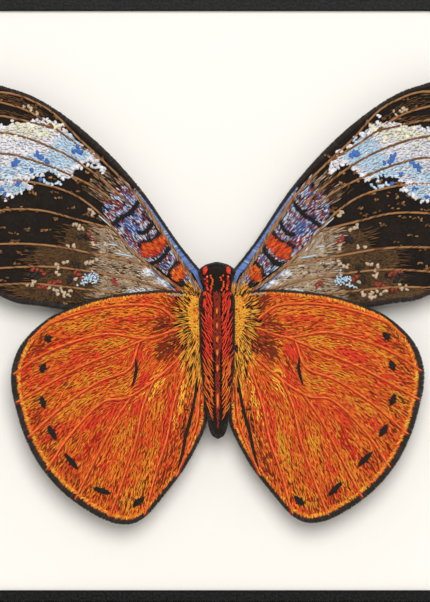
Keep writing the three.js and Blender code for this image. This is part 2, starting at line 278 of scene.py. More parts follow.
def stitches(middles, ways, length, width, height, colours):
    count = len(middles)
    rows = np.zeros((count, 11))
    rows[:, 0:2] = middles
    rows[:, 2] = height
    rows[:, 3:5] = ways
    rows[:, 6] = length
    rows[:, 7] = width
    rows[:, 8:11] = colours
    return rows


def picked(weights, rng):
    """A thread's colour for each stitch, drawn by weights: a dictionary of thread to numbers."""
    names = list(weights)
    size = max(np.size(value) for value in weights.values())
    chances = np.column_stack([np.broadcast_to(weights[name], size) for name in names])
    chances = np.maximum(chances, 0).cumsum(1)
    draw = rng.random(size)[:, None] * chances[:, -1:]
    chosen = (draw > chances).sum(1).clip(0, len(names) - 1)
    return np.array([THREADS[name] for name in names])[chosen]


def mixed(threads, count, rng):
    """Colours for a count of stitches, drawn by the threads' own weights."""
    return picked({name: np.full(count, float(weight)) for name, weight in threads.items()}, rng)


def in_patch(places, patch):
    """What a soft oval patch [out, up, half length, half width, turn, weight] adds at each place."""
    out, up, half_long, half_wide, turn, weight = patch
    along, across = turned(places - [out, up], np.full(len(places), -math.radians(turn))).T
    return weight * np.exp(-((along / half_long) ** 2 + (across / half_wide) ** 2) ** 2)


CLUSTER_LEAST = 0.1
CLUSTER_MORE = 2.4


def threads_at(places, threads, patches, clusters, rng):
    """A thread's colour for each place: by weight, in loose clusters, with patches that favour one."""
    weights = {}
    for name, weight in threads.items():
        weights[name] = weight * (CLUSTER_LEAST + CLUSTER_MORE * mottle(places, clusters, rng) ** 2)
    for name, ovals in (patches or {}).items():
        for patch in ovals:
            weights[name] = weights.get(name, np.zeros(len(places))) + in_patch(places, patch)
    return picked(weights, rng)


# Node helpers

def put(tree, kind, values=None, **settings):
    """Adds a node. A value is a number, a colour or another node's output."""
    made = tree.nodes.new(kind)
    for name, value in settings.items():
        setattr(made, name, value)
    for name, value in (values or {}).items():
        socket = made.inputs[name]
        if isinstance(value, bpy.types.NodeSocket):
            tree.links.new(value, socket)
        else:
            socket.default_value = value
    return made


def maths(tree, operation, *values):
    node = put(tree, "ShaderNodeMath", dict(enumerate(values)), operation=operation)
    return node.outputs[0]


def new_group(name, kind, inputs, outputs):
    tree = bpy.data.node_groups.new(name, kind)
    for way, sockets in (("INPUT", inputs), ("OUTPUT", outputs)):
        for label, socket_type, default in sockets:
            socket = tree.interface.new_socket(label, in_out=way, socket_type=socket_type)
            if default is not None:
                socket.default_value = default
    return tree, tree.nodes.new("NodeGroupInput").outputs, tree.nodes.new("NodeGroupOutput").inputs


NUMBER = "NodeSocketFloat"
WHOLE = "NodeSocketInt"
SHAPE = "NodeSocketGeometry"
SHADE_AND_HEIGHT = [("Shade", NUMBER, None), ("Height", NUMBER, None)]


# Geometry Nodes: one thread or one knot, laid again and again

CELL_SHARE = 0.84
CELL_MARGIN = 0.08


def repeat(tree, points, unit, finish, out):
    """Sets the unit on every point by the points' own turn and size, each with a cell of the map."""
    def named(name):
        node = put(tree, "GeometryNodeInputNamedAttribute", {"Name": name}, data_type="FLOAT_VECTOR")
        return node.outputs[0]

    placed = put(tree, "GeometryNodeInstanceOnPoints", {
        "Points": points, "Instance": unit, "Rotation": named("turn"), "Scale": named("size"),
    })
    count = put(tree, "GeometryNodeAttributeDomainSize", {"Geometry": points}).outputs[0]
    rows = maths(tree, "CEIL", maths(tree, "SQRT", count))
    index = put(tree, "GeometryNodeInputIndex").outputs[0]
    row = maths(tree, "FLOOR", maths(tree, "DIVIDE", index, rows))
    column = maths(tree, "SUBTRACT", index, maths(tree, "MULTIPLY", row, rows))
    cell = put(tree, "ShaderNodeCombineXYZ", {"X": column, "Y": row}).outputs[0]
    celled = put(tree, "GeometryNodeStoreNamedAttribute",
                 {"Geometry": placed.outputs[0], "Name": "cell", "Value": cell},
                 data_type="FLOAT_VECTOR", domain="INSTANCE")
    real = put(tree, "GeometryNodeRealizeInstances", {"Geometry": celled.outputs[0]})
    inner = put(tree, "ShaderNodeVectorMath", {
        0: named("lay"), 1: (CELL_SHARE, CELL_SHARE, 0), 2: (CELL_MARGIN, CELL_MARGIN, 0),
    }, operation="MULTIPLY_ADD")
    moved = put(tree, "ShaderNodeVectorMath", {0: inner.outputs[0], 1: named("cell")}, operation="ADD")
    scaled = put(tree, "ShaderNodeVectorMath",
                 {0: moved.outputs[0], "Scale": maths(tree, "DIVIDE", 1.0, rows)}, operation="SCALE")
    mapped = put(tree, "GeometryNodeStoreNamedAttribute",
                 {"Geometry": real.outputs[0], "Name": "OFBake", "Value": scaled.outputs[0]},
                 data_type="FLOAT2", domain="CORNER")
    shape = mapped.outputs[0]
    for name in ("turn", "size", "cell"):
        shape = put(tree, "GeometryNodeRemoveAttribute", {"Geometry": shape, "Name": name}).outputs[0]
    done = put(tree, "GeometryNodeSetMaterial", {"Geometry": shape, "Material": finish})
    tree.links.new(done.outputs[0], out)


def stored(tree, shape, name, value):
    """Keeps a curve's own parameter on it as a number that the mesh inherits."""
    node = put(tree, "GeometryNodeStoreNamedAttribute",
               {"Geometry": shape, "Name": name, "Value": value}, data_type="FLOAT", domain="POINT")
    return node.outputs[0]


def swept(tree, path, round_line, scale):
    """A tube along a path. Its lay is [fraction along, fraction around]."""
    along = put(tree, "GeometryNodeSplineParameter").outputs["Factor"]
    tube = put(tree, "GeometryNodeCurveToMesh", {
        "Curve": stored(tree, path, "along", along),
        "Profile Curve": stored(tree, round_line, "around", along),
        "Scale": scale,
        "Fill Caps": True,
    })
    parts = [put(tree, "GeometryNodeInputNamedAttribute", {"Name": name}, data_type="FLOAT").outputs[0]
             for name in ("along", "around")]
    lay = put(tree, "ShaderNodeCombineXYZ", {"X": parts[0], "Y": parts[1]}).outputs[0]
    laid = put(tree, "GeometryNodeStoreNamedAttribute",
               {"Geometry": tube.outputs[0], "Name": "lay", "Value": lay},
               data_type="FLOAT_VECTOR", domain="POINT")
    shape = laid.outputs[0]
    for name in ("along", "around"):
        shape = put(tree, "GeometryNodeRemoveAttribute", {"Geometry": shape, "Name": name}).outputs[0]
    return put(tree, "GeometryNodeSetShadeSmooth", {"Geometry": shape}).outputs[0]


def thread_tree():
    """A thread that comes up through the cloth, lies over it and goes down again."""
    tree, given, out = new_group("lay_threads", "GeometryNodeTree", [
        ("Points", SHAPE, None), ("Length", NUMBER, 6.0), ("Arch", NUMBER, 0.5), ("Steps", WHOLE, 4),
        ("Sides", WHOLE, 3), ("End width", NUMBER, 0.45), ("Finish", "NodeSocketMaterial", None),
    ], [("Threads", SHAPE, None)])
    arc = put(tree, "GeometryNodeCurveArc", {
        "Resolution": given["Steps"], "Radius": 0.5, "Start Angle": 0.0, "Sweep Angle": math.pi,
    })
    stretch = put(tree, "ShaderNodeCombineXYZ", {
        "X": given["Length"], "Y": maths(tree, "MULTIPLY", given["Arch"], 2.0), "Z": 1.0,
    })
    path = put(tree, "GeometryNodeTransform", {
        "Geometry": arc.outputs[0], "Rotation": (math.pi / 2, 0, 0), "Scale": stretch.outputs[0],
    })
    factor = put(tree, "GeometryNodeSplineParameter").outputs["Factor"]
    off_middle = maths(tree, "ABSOLUTE", maths(tree, "MULTIPLY_ADD", factor, 2.0, -1.0))
    loss = maths(tree, "SUBTRACT", 1.0, given["End width"])
    fall = maths(tree, "POWER", off_middle, 3.0)
    taper = maths(tree, "SUBTRACT", 1.0, maths(tree, "MULTIPLY", fall, loss))
    ring = put(tree, "GeometryNodeCurvePrimitiveCircle", {"Resolution": given["Sides"], "Radius": 0.5})
    unit = swept(tree, path.outputs[0], ring.outputs[0], taper)
    repeat(tree, given["Points"], unit, given["Finish"], out["Threads"])
    return tree


def euler_of(along, normal):
    """XYZ turns that set a unit's X along the thread and its Z as near the normal as may be."""
    x = along / np.linalg.norm(along, axis=1, keepdims=True)
    y = np.cross(normal, x)
    y /= np.linalg.norm(y, axis=1, keepdims=True)
    z = np.cross(x, y)
    return np.column_stack([
        np.arctan2(y[:, 2], z[:, 2]), np.arcsin(np.clip(-x[:, 2], -1, 1)), np.arctan2(x[:, 1], x[:, 0]),
    ])


def lay_threads(name, rows, to_world, finish, rng, normals=None, length=6.0, arch=0.5, steps=4, sides=3,
                end=0.45):
    """Lays a thread for each row of stitches and returns them all as one plain mesh piece."""
    if normals is None:
        normals = np.tile([0.0, 0.0, 1.0], (len(rows), 1))
    points = bpy.data.meshes.new(name + "_points")
    points.vertices.add(len(rows))
    points.vertices.foreach_set("co", to_world(rows[:, 0:3], False).ravel())
    turns = euler_of(to_world(rows[:, 3:6], True), to_world(normals, True))
    scale = rows[:, [6, 7, 7]] * MM
    scale[:, 0] /= length
    colour = np.column_stack([rows[:, 8:11], rng.random(len(rows))])
    for label, kind, field, values in (
        ("turn", "FLOAT_VECTOR", "vector", turns),
        ("size", "FLOAT_VECTOR", "vector", scale),
        ("span", "FLOAT", "value", rows[:, 6]),
        ("thread", "FLOAT_COLOR", "color", colour),
    ):
        kept = points.attributes.new(label, kind, "POINT").data
        kept.foreach_set(field, values.astype(np.float32).ravel())
    piece = bpy.data.objects.new(name, points)
    bpy.context.scene.collection.objects.link(piece)
    grower = piece.modifiers.new("grow", "NODES")
    grower.node_group = THREAD_TREE
    settings = {
        "Length": length, "Arch": arch, "Steps": steps, "Sides": sides, "End width": end, "Finish": finish,
    }
    for item in THREAD_TREE.interface.items_tree:
        if item.in_out == "INPUT" and item.name in settings:
            grower[item.identifier] = settings[item.name]
    seen = piece.evaluated_get(bpy.context.evaluated_depsgraph_get())
    grown = bpy.data.meshes.new_from_object(seen)
    piece.modifiers.remove(grower)
    piece.data = grown
    grown.name = name
    bpy.data.meshes.remove(points)
    return piece


# From a wing's or the body's own places to the world

card_low, card_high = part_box("mount_card")
CARD_FRONT = card_low.y
MIDDLE = (card_low.z + card_high.z) / 2


def specimen_to_world(places, is_way):
    """From [across, up, out from the card] in millimetres, before the specimen's tilt."""
    across, up, out = np.asarray(places, float).T
    c, s = math.cos(MOUNT_TILT), math.sin(MOUNT_TILT)
    world = np.column_stack([across * c - up * s, -out, across * s + up * c])
    return world if is_way else world * MM + [0, CARD_FRONT, MIDDLE]


def wing_to_world(side, back):
    """The function for one wing, from [out, up, above the felt's back]."""
    c, s = math.cos(WING_LIFT), math.sin(WING_LIFT)

    def to_world(places, is_way):
        out, up, height = np.asarray(places, float).T
        base = 0 if is_way else back
        across = side * (out * c - height * s)
        return specimen_to_world(np.column_stack([across, up, base + out * s + height * c]), is_way)

    return to_world


# Meshes made from rings of places

def mesh_piece(name, points, faces, finish, smooth=True):
    mesh = bpy.data.meshes.new(name)
    mesh.from_pydata([tuple(p) for p in points], [], [tuple(int(i) for i in f) for f in faces])
    mesh.materials.append(finish)
    shaped = bmesh.new()
    shaped.from_mesh(mesh)
    bmesh.ops.triangulate(shaped, faces=[f for f in shaped.faces if len(f.verts) > 4])
    bmesh.ops.recalc_face_normals(shaped, faces=shaped.faces)
    shaped.to_mesh(mesh)
    shaped.free()
    mesh.polygons.foreach_set("use_smooth", [smooth] * len(mesh.polygons))
    piece = bpy.data.objects.new(name, mesh)
    bpy.context.scene.collection.objects.link(piece)
    return piece


def finish(piece, slot):
    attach(piece, "root")


def finish_wing(pieces, slot):
    """Attaches each piece to the root. The border's threads are black like the felt; the slot names passed
    on are not used.
    """
    for piece in pieces:
        is_black = "felt" in piece.name or "border" in piece.name
        finish(piece, "black_felt" if is_black else slot)


def tube_faces(rings, count, first=0):
    """Quads between neighbouring rings of `count` points each, and a face over each end."""
    faces = []
    for ring in range(rings - 1):
        start = first + ring * count
        for i in range(count):
            j = (i + 1) % count
            faces.append((start + i, start + j, start + count + j, start + count + i))
    last = first + (rings - 1) * count
    faces.append(tuple(range(first, first + count)))
    faces.append(tuple(range(last, last + count)))
    return faces


# Felt wing: a cut sheet with soft edges, and a padded roll under the border's stitches

FELT_EDGE = [(1.1, 0.0), (0.45, 0.0), (0.3, 0.12), (0.22, 0.5), (0.3, 0.88), (0.5, 1.0), (1.1, 1.0)]


def felt_shape(outline):
    """Rings of [place, height] from the back's rim over the edge to the front's rim."""
    rings = [np.column_stack([moved_in(outline, inset), np.full(len(outline), height * FELT)])
             for inset, height in FELT_EDGE]
    return np.vstack(rings), tube_faces(len(rings), len(outline))


ROLL_SIDES = 8
ROLL_MARGIN = 0.22
ROLL_MIDDLE = 0.75
ROLL_HALF = 0.5


def roll_shape(line, widths, first):
    """A padded roll along the border, higher than the felt."""
    points = []
    inward = -left_of(headings(line))
    for i in range(ROLL_SIDES):
        angle = 2 * math.pi * i / ROLL_SIDES
        off = (widths / 2 + math.cos(angle) * (widths / 2 - ROLL_MARGIN))[:, None]
        height = ROLL_MIDDLE + ROLL_HALF * math.sin(angle)
        points.append(np.column_stack([line + inward * off, np.full(len(line), height)]))
    points = np.stack(points, 1).reshape(-1, 3)
    return points, tube_faces(len(line), ROLL_SIDES, first)


# Shared shader groups

def object_place(tree):
    return put(tree, "ShaderNodeTexCoord").outputs["Object"]


def nap_group():
    """Felt: matted fibres at two scales, as a shade from 0 to 1 and a height."""
    tree, given, out = new_group("felt_nap", "ShaderNodeTree", [("Scale", NUMBER, 1.0)], SHADE_AND_HEIGHT)
    place = object_place(tree)
    spread = put(tree, "ShaderNodeVectorMath", {0: place, "Scale": given["Scale"]}, operation="SCALE")
    matted = put(tree, "ShaderNodeTexNoise", {
        "Vector": spread.outputs[0], "Scale": 1500.0, "Detail": 6.0, "Roughness": 0.75, "Distortion": 1.4,
    })
    clumps = put(tree, "ShaderNodeTexNoise", {"Vector": spread.outputs[0], "Scale": 260.0, "Detail": 3.0})
    grown = put(tree, "ShaderNodeMath", {0: matted.outputs[0], 1: 2.4, 2: -0.95}, operation="MULTIPLY_ADD",
                use_clamp=True).outputs[0]
    both = maths(tree, "MULTIPLY_ADD", clumps.outputs[0], 0.4, maths(tree, "MULTIPLY", grown, 0.6))
    tree.links.new(both, out["Shade"])
    tree.links.new(matted.outputs[0], out["Height"])
    return tree


def ply_group():
    """Thread: strands twisted round each other, read from each stitch's own lay and length. Its shade is
    painted: darker in the grooves between the strands and near each stitch's ends.
    """
    tree, given, out = new_group("thread_ply", "ShaderNodeTree", [
        ("Twist length", NUMBER, 0.9), ("Strands", NUMBER, 2.0),
    ], SHADE_AND_HEIGHT)
    lay = put(tree, "ShaderNodeAttribute", attribute_name="lay").outputs["Vector"]
    span = put(tree, "ShaderNodeAttribute", attribute_name="span").outputs["Fac"]
    parts = put(tree, "ShaderNodeSeparateXYZ", {0: lay}).outputs
    turns = maths(tree, "DIVIDE", maths(tree, "MULTIPLY", parts["X"], span), given["Twist length"])
    phase = maths(tree, "MULTIPLY", maths(tree, "ADD", turns, parts["Y"]), given["Strands"])
    round_strand = maths(tree, "ABSOLUTE", maths(tree, "SINE", maths(tree, "MULTIPLY", phase, math.pi)))
    place = object_place(tree)
    fluff = put(tree, "ShaderNodeTexNoise", {"Vector": place, "Scale": 4200.0, "Detail": 3.0}).outputs[0]
    height = maths(tree, "MULTIPLY_ADD", fluff, 0.5, round_strand)
    # Painted shade: the colour darkens towards each stitch's ends, where the thread dips into the cloth
    off_middle = maths(tree, "ABSOLUTE", maths(tree, "SUBTRACT", parts["X"], 0.5))
    near_end = maths(tree, "POWER", maths(tree, "MULTIPLY", off_middle, 2.0), 4.0)
    painted_end_shade = maths(tree, "MULTIPLY", near_end, 0.35)
    # Painted shade: darker in the grooves between the strands, and darker still near the ends
    shade = maths(tree, "SUBTRACT", maths(tree, "MULTIPLY_ADD", height, 0.28, 0.68), painted_end_shade)
    tree.links.new(shade, out["Shade"])
    tree.links.new(height, out["Height"])
    return tree


def speckle_group():
    """A fine grain and broad clouds, for paint, plated steel, card and floor."""
    tree, given, out = new_group("speckle", "ShaderNodeTree", [
        ("Grain scale", NUMBER, 2000.0), ("Cloud scale", NUMBER, 30.0),
    ], [("Grain", NUMBER, None), ("Cloud", NUMBER, None)])
    place = object_place(tree)
    for label, scale, detail in (("Grain", "Grain scale", 4.0), ("Cloud", "Cloud scale", 5.0)):
        noise = put(tree, "ShaderNodeTexNoise", {"Vector": place, "Scale": given[scale], "Detail": detail})
        tree.links.new(noise.outputs[0], out[label])
    return tree


# Materials

def new_material(name, **settings):
    """A material with a plain Principled shader. Its settings are the shader's own constant values."""
    made = bpy.data.materials.new(name)
    made.use_nodes = True
    tree = made.node_tree
    shader = tree.nodes["Principled BSDF"]
    for label, value in settings.items():
        shader.inputs[label.replace("_", " ")].default_value = value
    return made, tree, shader


def place_group(tree, group, **values):
    node = tree.nodes.new("ShaderNodeGroup")
    node.node_tree = group
    for label, value in values.items():
        node.inputs[label.replace("_", " ")].default_value = value
    return node.outputs


def between(tree, factor, dark, light):
    """A colour mixed from two by a factor."""
    node = tree.nodes.new("ShaderNodeMix")
    node.data_type = "RGBA"
    for index, value in ((0, factor), (6, dark), (7, light)):
        if isinstance(value, bpy.types.NodeSocket):
            tree.links.new(value, node.inputs[index])
        else:
            node.inputs[index].default_value = (*value, 1) if index else value
    return node.outputs[2]


def dress(tree, shader, tint, height, strength, distance):
    """Links a shader's colour, and a bump from a height."""
    node = put(tree, "ShaderNodeBump", {"Height": height, "Strength": strength, "Distance": distance})
    tree.links.new(node.outputs[0], shader.inputs["Normal"])
    tree.links.new(tint, shader.inputs["Base Color"])


def stitch_colour(tree, shade, thread):
    """Each stitch's own colour, darkened by a shade."""
    scaled = put(tree, "ShaderNodeVectorMath", {0: thread["Color"], "Scale": shade}, operation="SCALE")
    return scaled.outputs[0]


def thread_material(name, brightness):
    made, tree, shader = new_material(name, Roughness=0.6, Sheen_Weight=0.06, Sheen_Roughness=0.4,
                                      Specular_IOR_Level=0.22)
    thread = put(tree, "ShaderNodeAttribute", attribute_name="thread").outputs
    ply = place_group(tree, PLY)
    own = maths(tree, "MULTIPLY_ADD", thread["Alpha"], 0.36, brightness)
    # The ply's painted shade of grooves and ends, times each stitch's own brightness
    shade = maths(tree, "MULTIPLY", ply["Shade"], own)
    dress(tree, shader, stitch_colour(tree, shade, thread), ply["Height"], 0.7, 0.00006)
    return made


def ground_material():
    """The close stitching that lies under the threads."""
    made, tree, shader = new_material("ground stitching", Roughness=0.8, Specular_IOR_Level=0.15)
    thread = put(tree, "ShaderNodeAttribute", attribute_name="thread").outputs
    nap = place_group(tree, NAP, Scale=0.8)
    shade = maths(tree, "MULTIPLY_ADD", nap["Shade"], 0.9, 0.35)
    dress(tree, shader, stitch_colour(tree, shade, thread), nap["Height"], 0.8, 0.0002)
    return made


def felt_material():
    made, tree, shader = new_material("black wool felt", Roughness=0.95, Sheen_Weight=0.08,
                                      Sheen_Roughness=0.55, Specular_IOR_Level=0.12)
    nap = place_group(tree, NAP, Scale=1.0)
    tint = between(tree, nap["Shade"], (0.0, 0.0, 0.0), (0.044, 0.032, 0.025))
    dress(tree, shader, tint, nap["Height"], 0.8, 0.00025)
    return made


def foam_material():
    made, tree, shader = new_material("closed-cell foam", Roughness=0.9, Specular_IOR_Level=0.3)
    place = object_place(tree)
    cells = put(tree, "ShaderNodeTexVoronoi", {"Vector": place, "Scale": 2600.0}).outputs["Distance"]
    tint = between(tree, cells, (0.82, 0.81, 0.78), (0.6, 0.59, 0.55))
    dress(tree, shader, tint, cells, 0.5, 0.0001)
    return made


def powder_coat():
    """Fine-textured paint: close dark and paler grains over a slightly rough face."""
    made, tree, shader = new_material("black powder coat", Roughness=0.4, Specular_IOR_Level=0.12)
    speckle = place_group(tree, SPECKLE, Grain_scale=1300.0, Cloud_scale=60.0)
    grains = put(tree, "ShaderNodeMath", {0: speckle["Grain"], 1: 5.0, 2: -2.1}, operation="MULTIPLY_ADD",
                 use_clamp=True).outputs[0]
    dulled = maths(tree, "MULTIPLY_ADD", speckle["Cloud"], 0.12, 0.32)
    tree.links.new(dulled, shader.inputs["Roughness"])
    tint = between(tree, grains, (0.0, 0.0, 0.0), (0.011, 0.011, 0.012))
    dress(tree, shader, tint, grains, 0.4, 0.00006)
    return made


def plated_steel(name, dark, light, roughness, streak):
    """Plated or rolled steel, with fine marks drawn out along one way."""
    made, tree, shader = new_material(name, Metallic=0.95)
    place = object_place(tree)
    drawn = put(tree, "ShaderNodeMapping", {"Vector": place, "Scale": streak}).outputs[0]
    marks = put(tree, "ShaderNodeTexNoise", {"Vector": drawn, "Scale": 1.0, "Detail": 6.0}).outputs[0]
    speckle = place_group(tree, SPECKLE, Grain_scale=900.0, Cloud_scale=90.0)
    worn = maths(tree, "MULTIPLY_ADD", marks, 0.3, roughness)
    tree.links.new(worn, shader.inputs["Roughness"])
    dress(tree, shader, between(tree, speckle["Cloud"], dark, light), marks, 0.25, 0.00005)
    return made


def card_material():
    made, tree, shader = new_material("cream mount card", Roughness=0.92, Specular_IOR_Level=0.2)
    speckle = place_group(tree, SPECKLE, Grain_scale=1400.0, Cloud_scale=25.0)
    tint = between(tree, speckle["Cloud"], (0.925, 0.903, 0.862), (0.95, 0.93, 0.897))
    dress(tree, shader, tint, speckle["Grain"], 0.18, 0.00008)
    return made


def board_material():
    """Hardboard: brown fibres pressed flat, with paler and darker flecks."""
    made, tree, shader = new_material("brown hardboard", Roughness=0.7)
    place = object_place(tree)
    drawn = put(tree, "ShaderNodeMapping", {"Vector": place, "Scale": (260, 900, 1400)}).outputs[0]
    fibres = put(tree, "ShaderNodeTexNoise", {
        "Vector": drawn, "Scale": 1.0, "Detail": 7.0, "Roughness": 0.7, "Distortion": 1.2,
    }).outputs[0]
    tint = between(tree, fibres, (0.07, 0.032, 0.014), (0.36, 0.2, 0.1))
    dress(tree, shader, tint, fibres, 0.35, 0.0001)
    return made


def floor_material():
    made, tree, shader = new_material("pale floor", Roughness=0.8)
    speckle = place_group(tree, SPECKLE, Grain_scale=300.0, Cloud_scale=3.0)
    tint = between(tree, speckle["Cloud"], (0.72, 0.71, 0.69), (0.78, 0.77, 0.75))
    tree.links.new(tint, shader.inputs["Base Color"])
    return made


# Camera, light and floor

def add_camera():
    data = bpy.data.cameras.new("camera")
    data.sensor_width = SENSOR
    data.lens = SENSOR * VIEW_DISTANCE / VIEW_HEIGHT
    data.clip_end = 20
    camera = bpy.data.objects.new("camera", data)
    camera.location = (VIEW_ACROSS, CARD_FRONT - VIEW_DISTANCE, MIDDLE - VIEW_DROP)
    camera.rotation_euler = (math.pi / 2, 0, 0)
    bpy.context.scene.collection.objects.link(camera)
    bpy.context.scene.camera = camera


def add_light():
    up, right = (math.radians(turn) for turn in KEY_TURN)
    data = bpy.data.lights.new("soft key", "AREA")
    data.shape = "DISK"
    data.size = KEY_SIZE
    data.energy = KEY_POWER
    data.color = (1.0, 0.985, 0.96)
    key = bpy.data.objects.new("soft key", data)
    way = np.array([math.sin(right), -math.cos(up) * math.cos(right), math.sin(up)])
    key.location = np.array([0, CARD_FRONT, MIDDLE]) + way * KEY_DISTANCE
    key.rotation_euler = (math.pi / 2 - up, 0, right)
    bpy.context.scene.collection.objects.link(key)
    world = bpy.data.worlds.new("soft room")
    world.use_nodes = True
    sky = world.node_tree.nodes["Background"]
    sky.inputs["Color"].default_value = (1.0, 0.99, 0.97, 1)
    sky.inputs["Strength"].default_value = SKY_STRENGTH
    bpy.context.scene.world = world
    bpy.context.scene.view_settings.view_transform = "Standard"


def add_floor():
    level = cad_low.z - FLOOR_GAP
    corners = [(x * FLOOR_HALF, y * FLOOR_HALF, level) for x, y in ((-1, -1), (1, -1), (1, 1), (-1, 1))]
    floor = mesh_piece("floor", corners, [(0, 1, 2, 3)], floor_material(), smooth=False)


# Felt wings with their padded border

# Border widths: fractions of the way from the root along the outline and back to it, and the widths there
BORDER_WIDTHS = {
    "forewing": ([0, 0.1, 0.2, 0.3, 0.5, 0.7, 0.76, 0.97, 1],
                 [0.75, 1.0, 1.8, 1.3, 1.2, 1.4, 1.9, 1.8, 1.4]),
    "hindwing": ([0, 0.28, 0.37, 0.7, 0.78, 1], [0.8, 0.8, 2.0, 2.1, 1.4, 1.2]),
}
OUTLINES = {"forewing": FOREWING_OUTLINE, "hindwing": HINDWING_OUTLINE}
BACKS = {"forewing": STANDOFF, "hindwing": STANDOFF + WING_STEP}
GROUND_BOTTOM = 0.6
GROUND_TOP = FELT + 0.06
GROUND_STEP = 0.02
SATIN_WIDTH = 0.5
SATIN_BASE = 0.25
SATIN_OVERLAP = 0.25
BORDER_THREAD = dict(length=3.6, arch=2.4, steps=5, sides=4, end=0.8)


def border_widths(wing, line):
    steps, widths = BORDER_WIDTHS[wing]
    return np.interp(np.linspace(0, 1, len(line)), steps, widths)


def add_felt(wing, side_name, to_world):
    line = smooth_line(OUTLINES[wing], 1.0)
    points, faces = felt_shape(line)
    more, more_faces = roll_shape(line, border_widths(wing, line), len(points))
    piece = mesh_piece(f"{wing}_felt_{side_name}", to_world(np.vstack([points, more]), False),
                       faces + more_faces, FELT_FINISH)
    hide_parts(f"{wing}_{side_name}")
    return piece


def ground_sheet(name, grounds, to_world):
    """Thin sheets under the threads, each from an outline and a thread, one just above another."""
    points, faces, shades = [], [], []
    for number, (outline, thread) in enumerate(grounds):
        line = evenly(np.vstack([outline, outline[:1]]).astype(float), 0.9)[:-1]
        count = len(line)
        faces += tube_faces(2, count, len(points))
        for height in (GROUND_BOTTOM, GROUND_TOP + GROUND_STEP * number):
            points.extend(np.column_stack([line, np.full(count, height)]))
        shades += [(*THREADS[thread], 1.0)] * (2 * count)
    piece = mesh_piece(name, to_world(np.array(points), False), faces, GROUND_FINISH)
    piece.data.attributes.new("thread", "FLOAT_COLOR", "POINT").data.foreach_set("color", np.ravel(shades))
    return piece


def border_rows(wing, rng):
    """Satin stitches side by side over the padded roll."""
    line = smooth_line(OUTLINES[wing], SATIN_PITCH)
    count = len(line)
    widths = border_widths(wing, line)
    ways = turned(left_of(headings(line)), rng.normal(0.12, 0.06, count))
    middles = moved_in(line, widths / 2 + rng.normal(0, 0.03, count))
    lengths = widths + SATIN_OVERLAP + rng.normal(0, 0.05, count)
    colours = mixed({"onyx": 4, "charcoal": 1}, count, rng)
    return stitches(middles, ways, lengths, SATIN_WIDTH, SATIN_BASE, colours)


def cord_rows(points, rng, threads, pitch, length, width, slant, height):
    """Stem stitch: overlapping slanted stitches that make a rope along a line."""
    line = smooth_line(points, pitch)
    count = len(line)
    ways = turned(headings(line), rng.normal(slant, 0.03, count))
    colours = mixed(threads, count, rng)
    lengths = rng.normal(length, 0.1, count)
    return stitches(line, ways, lengths, width, height, colours)


def sown(outline, rng, lines, threads, spacing, length, width=FINE, wander=15, height=FELT, lift=0.15,
         turn=None, patches=None, clusters=3.0):
    """Fills an outline with stitches that follow the veins, or one turn, with threads drawn by weight."""
    places = scattered(np.array(outline, float), spacing, rng)
    count = len(places)
    if turn is None:
        ways = grain(places, lines)
    else:
        ways = np.tile(way_at(turn), (count, 1))
    ways = turned(ways, rng.normal(0, math.radians(wander), count))
    colours = threads_at(places, threads, patches, clusters, rng)
    lengths = rng.uniform(*length, count)
    widths = width * rng.uniform(0.85, 1.15, count)
    heights = height + 0.08 + lift * rng.random(count)
    return stitches(places, ways, lengths, widths, heights, colours)


def oval(out, up, half_long, half_wide, turn=0):
    angles = np.linspace(0, 2 * math.pi, 24, endpoint=False)
    round_line = np.column_stack([half_long * np.cos(angles), half_wide * np.sin(angles)])
    return turned(round_line, np.full(24, math.radians(turn))) + [out, up]


# Hindwing

HINDWING_THREADS = {"orange": 3.2, "amber": 0.8, "honey": 0.5, "scarlet": 0.7, "red": 0.15, "rust": 0.16}
# Ovals where a thread is favoured: out, up, half length, half width, turn, weight
HINDWING_PATCHES = {
    "rust": [
        (14, -1, 4, 3, 20, 7), (17, -7.5, 4, 3, -15, 12), (15, -15, 5, 3.5, -40, 12),
        (58.5, -12.5, 4, 2.5, -40, 4), (18, -58.5, 6, 1.3, -65, 5),
    ],
    "soot": [(16, -8, 2.5, 1.6, -15, 4), (14.4, -13.6, 3, 2, -40, 4)],
    "scarlet": [
        (25, -17, 3, 2.2, -30, 22), (24, -26.6, 3, 2.4, -50, 22), (15.5, -37, 7, 2, -75, 10),
        (32.4, -35, 4, 2, -40, 9), (40, -38.2, 5, 2, -45, 8), (46, -18.3, 8, 2, -20, 7),
        (58, -25, 5, 2, -25, 7), (51.7, -41, 5, 2.4, -45, 7), (26, -34.4, 3, 1.6, -60, 10),
        (30, -6.2, 8, 1.3, -5, 6), (36.4, -53, 7, 1.5, -60, 6), (18, -47, 8, 1.5, -75, 7),
    ],
    "red": [(49, -13.5, 8, 1.2, -15, 3), (43, -48, 7, 1.3, -52, 4)],
    "honey": [
        (41, -6.6, 8, 2, -10, 6), (54, -9.3, 3.5, 1.5, -45, 7), (35, -13.8, 9, 2, -12, 6),
        (39, -24.2, 7, 2, -28, 6), (31.6, -27.4, 5, 2.5, -30, 6), (47, -34.7, 7, 2, -38, 6),
        (32, -46.4, 6, 2.4, -60, 5), (22, -51.8, 9, 1.6, -75, 6), (39.3, -59, 3, 2, -60, 5),
        (28.8, -64, 6, 3, -20, 6), (61, -32.2, 3, 2.5, -60, 6), (52, -17, 7, 1.2, -18, 4),
    ],
    "gold": [(20.7, -27.2, 5, 2, -60, 8), (12.8, -33.2, 8, 1.5, -75, 8)],
    "amber": [(26, -3.6, 10, 1.5, 0, 8), (55, -22, 8, 1.5, -30, 6), (20, -62, 5, 2, -60, 5)],
}
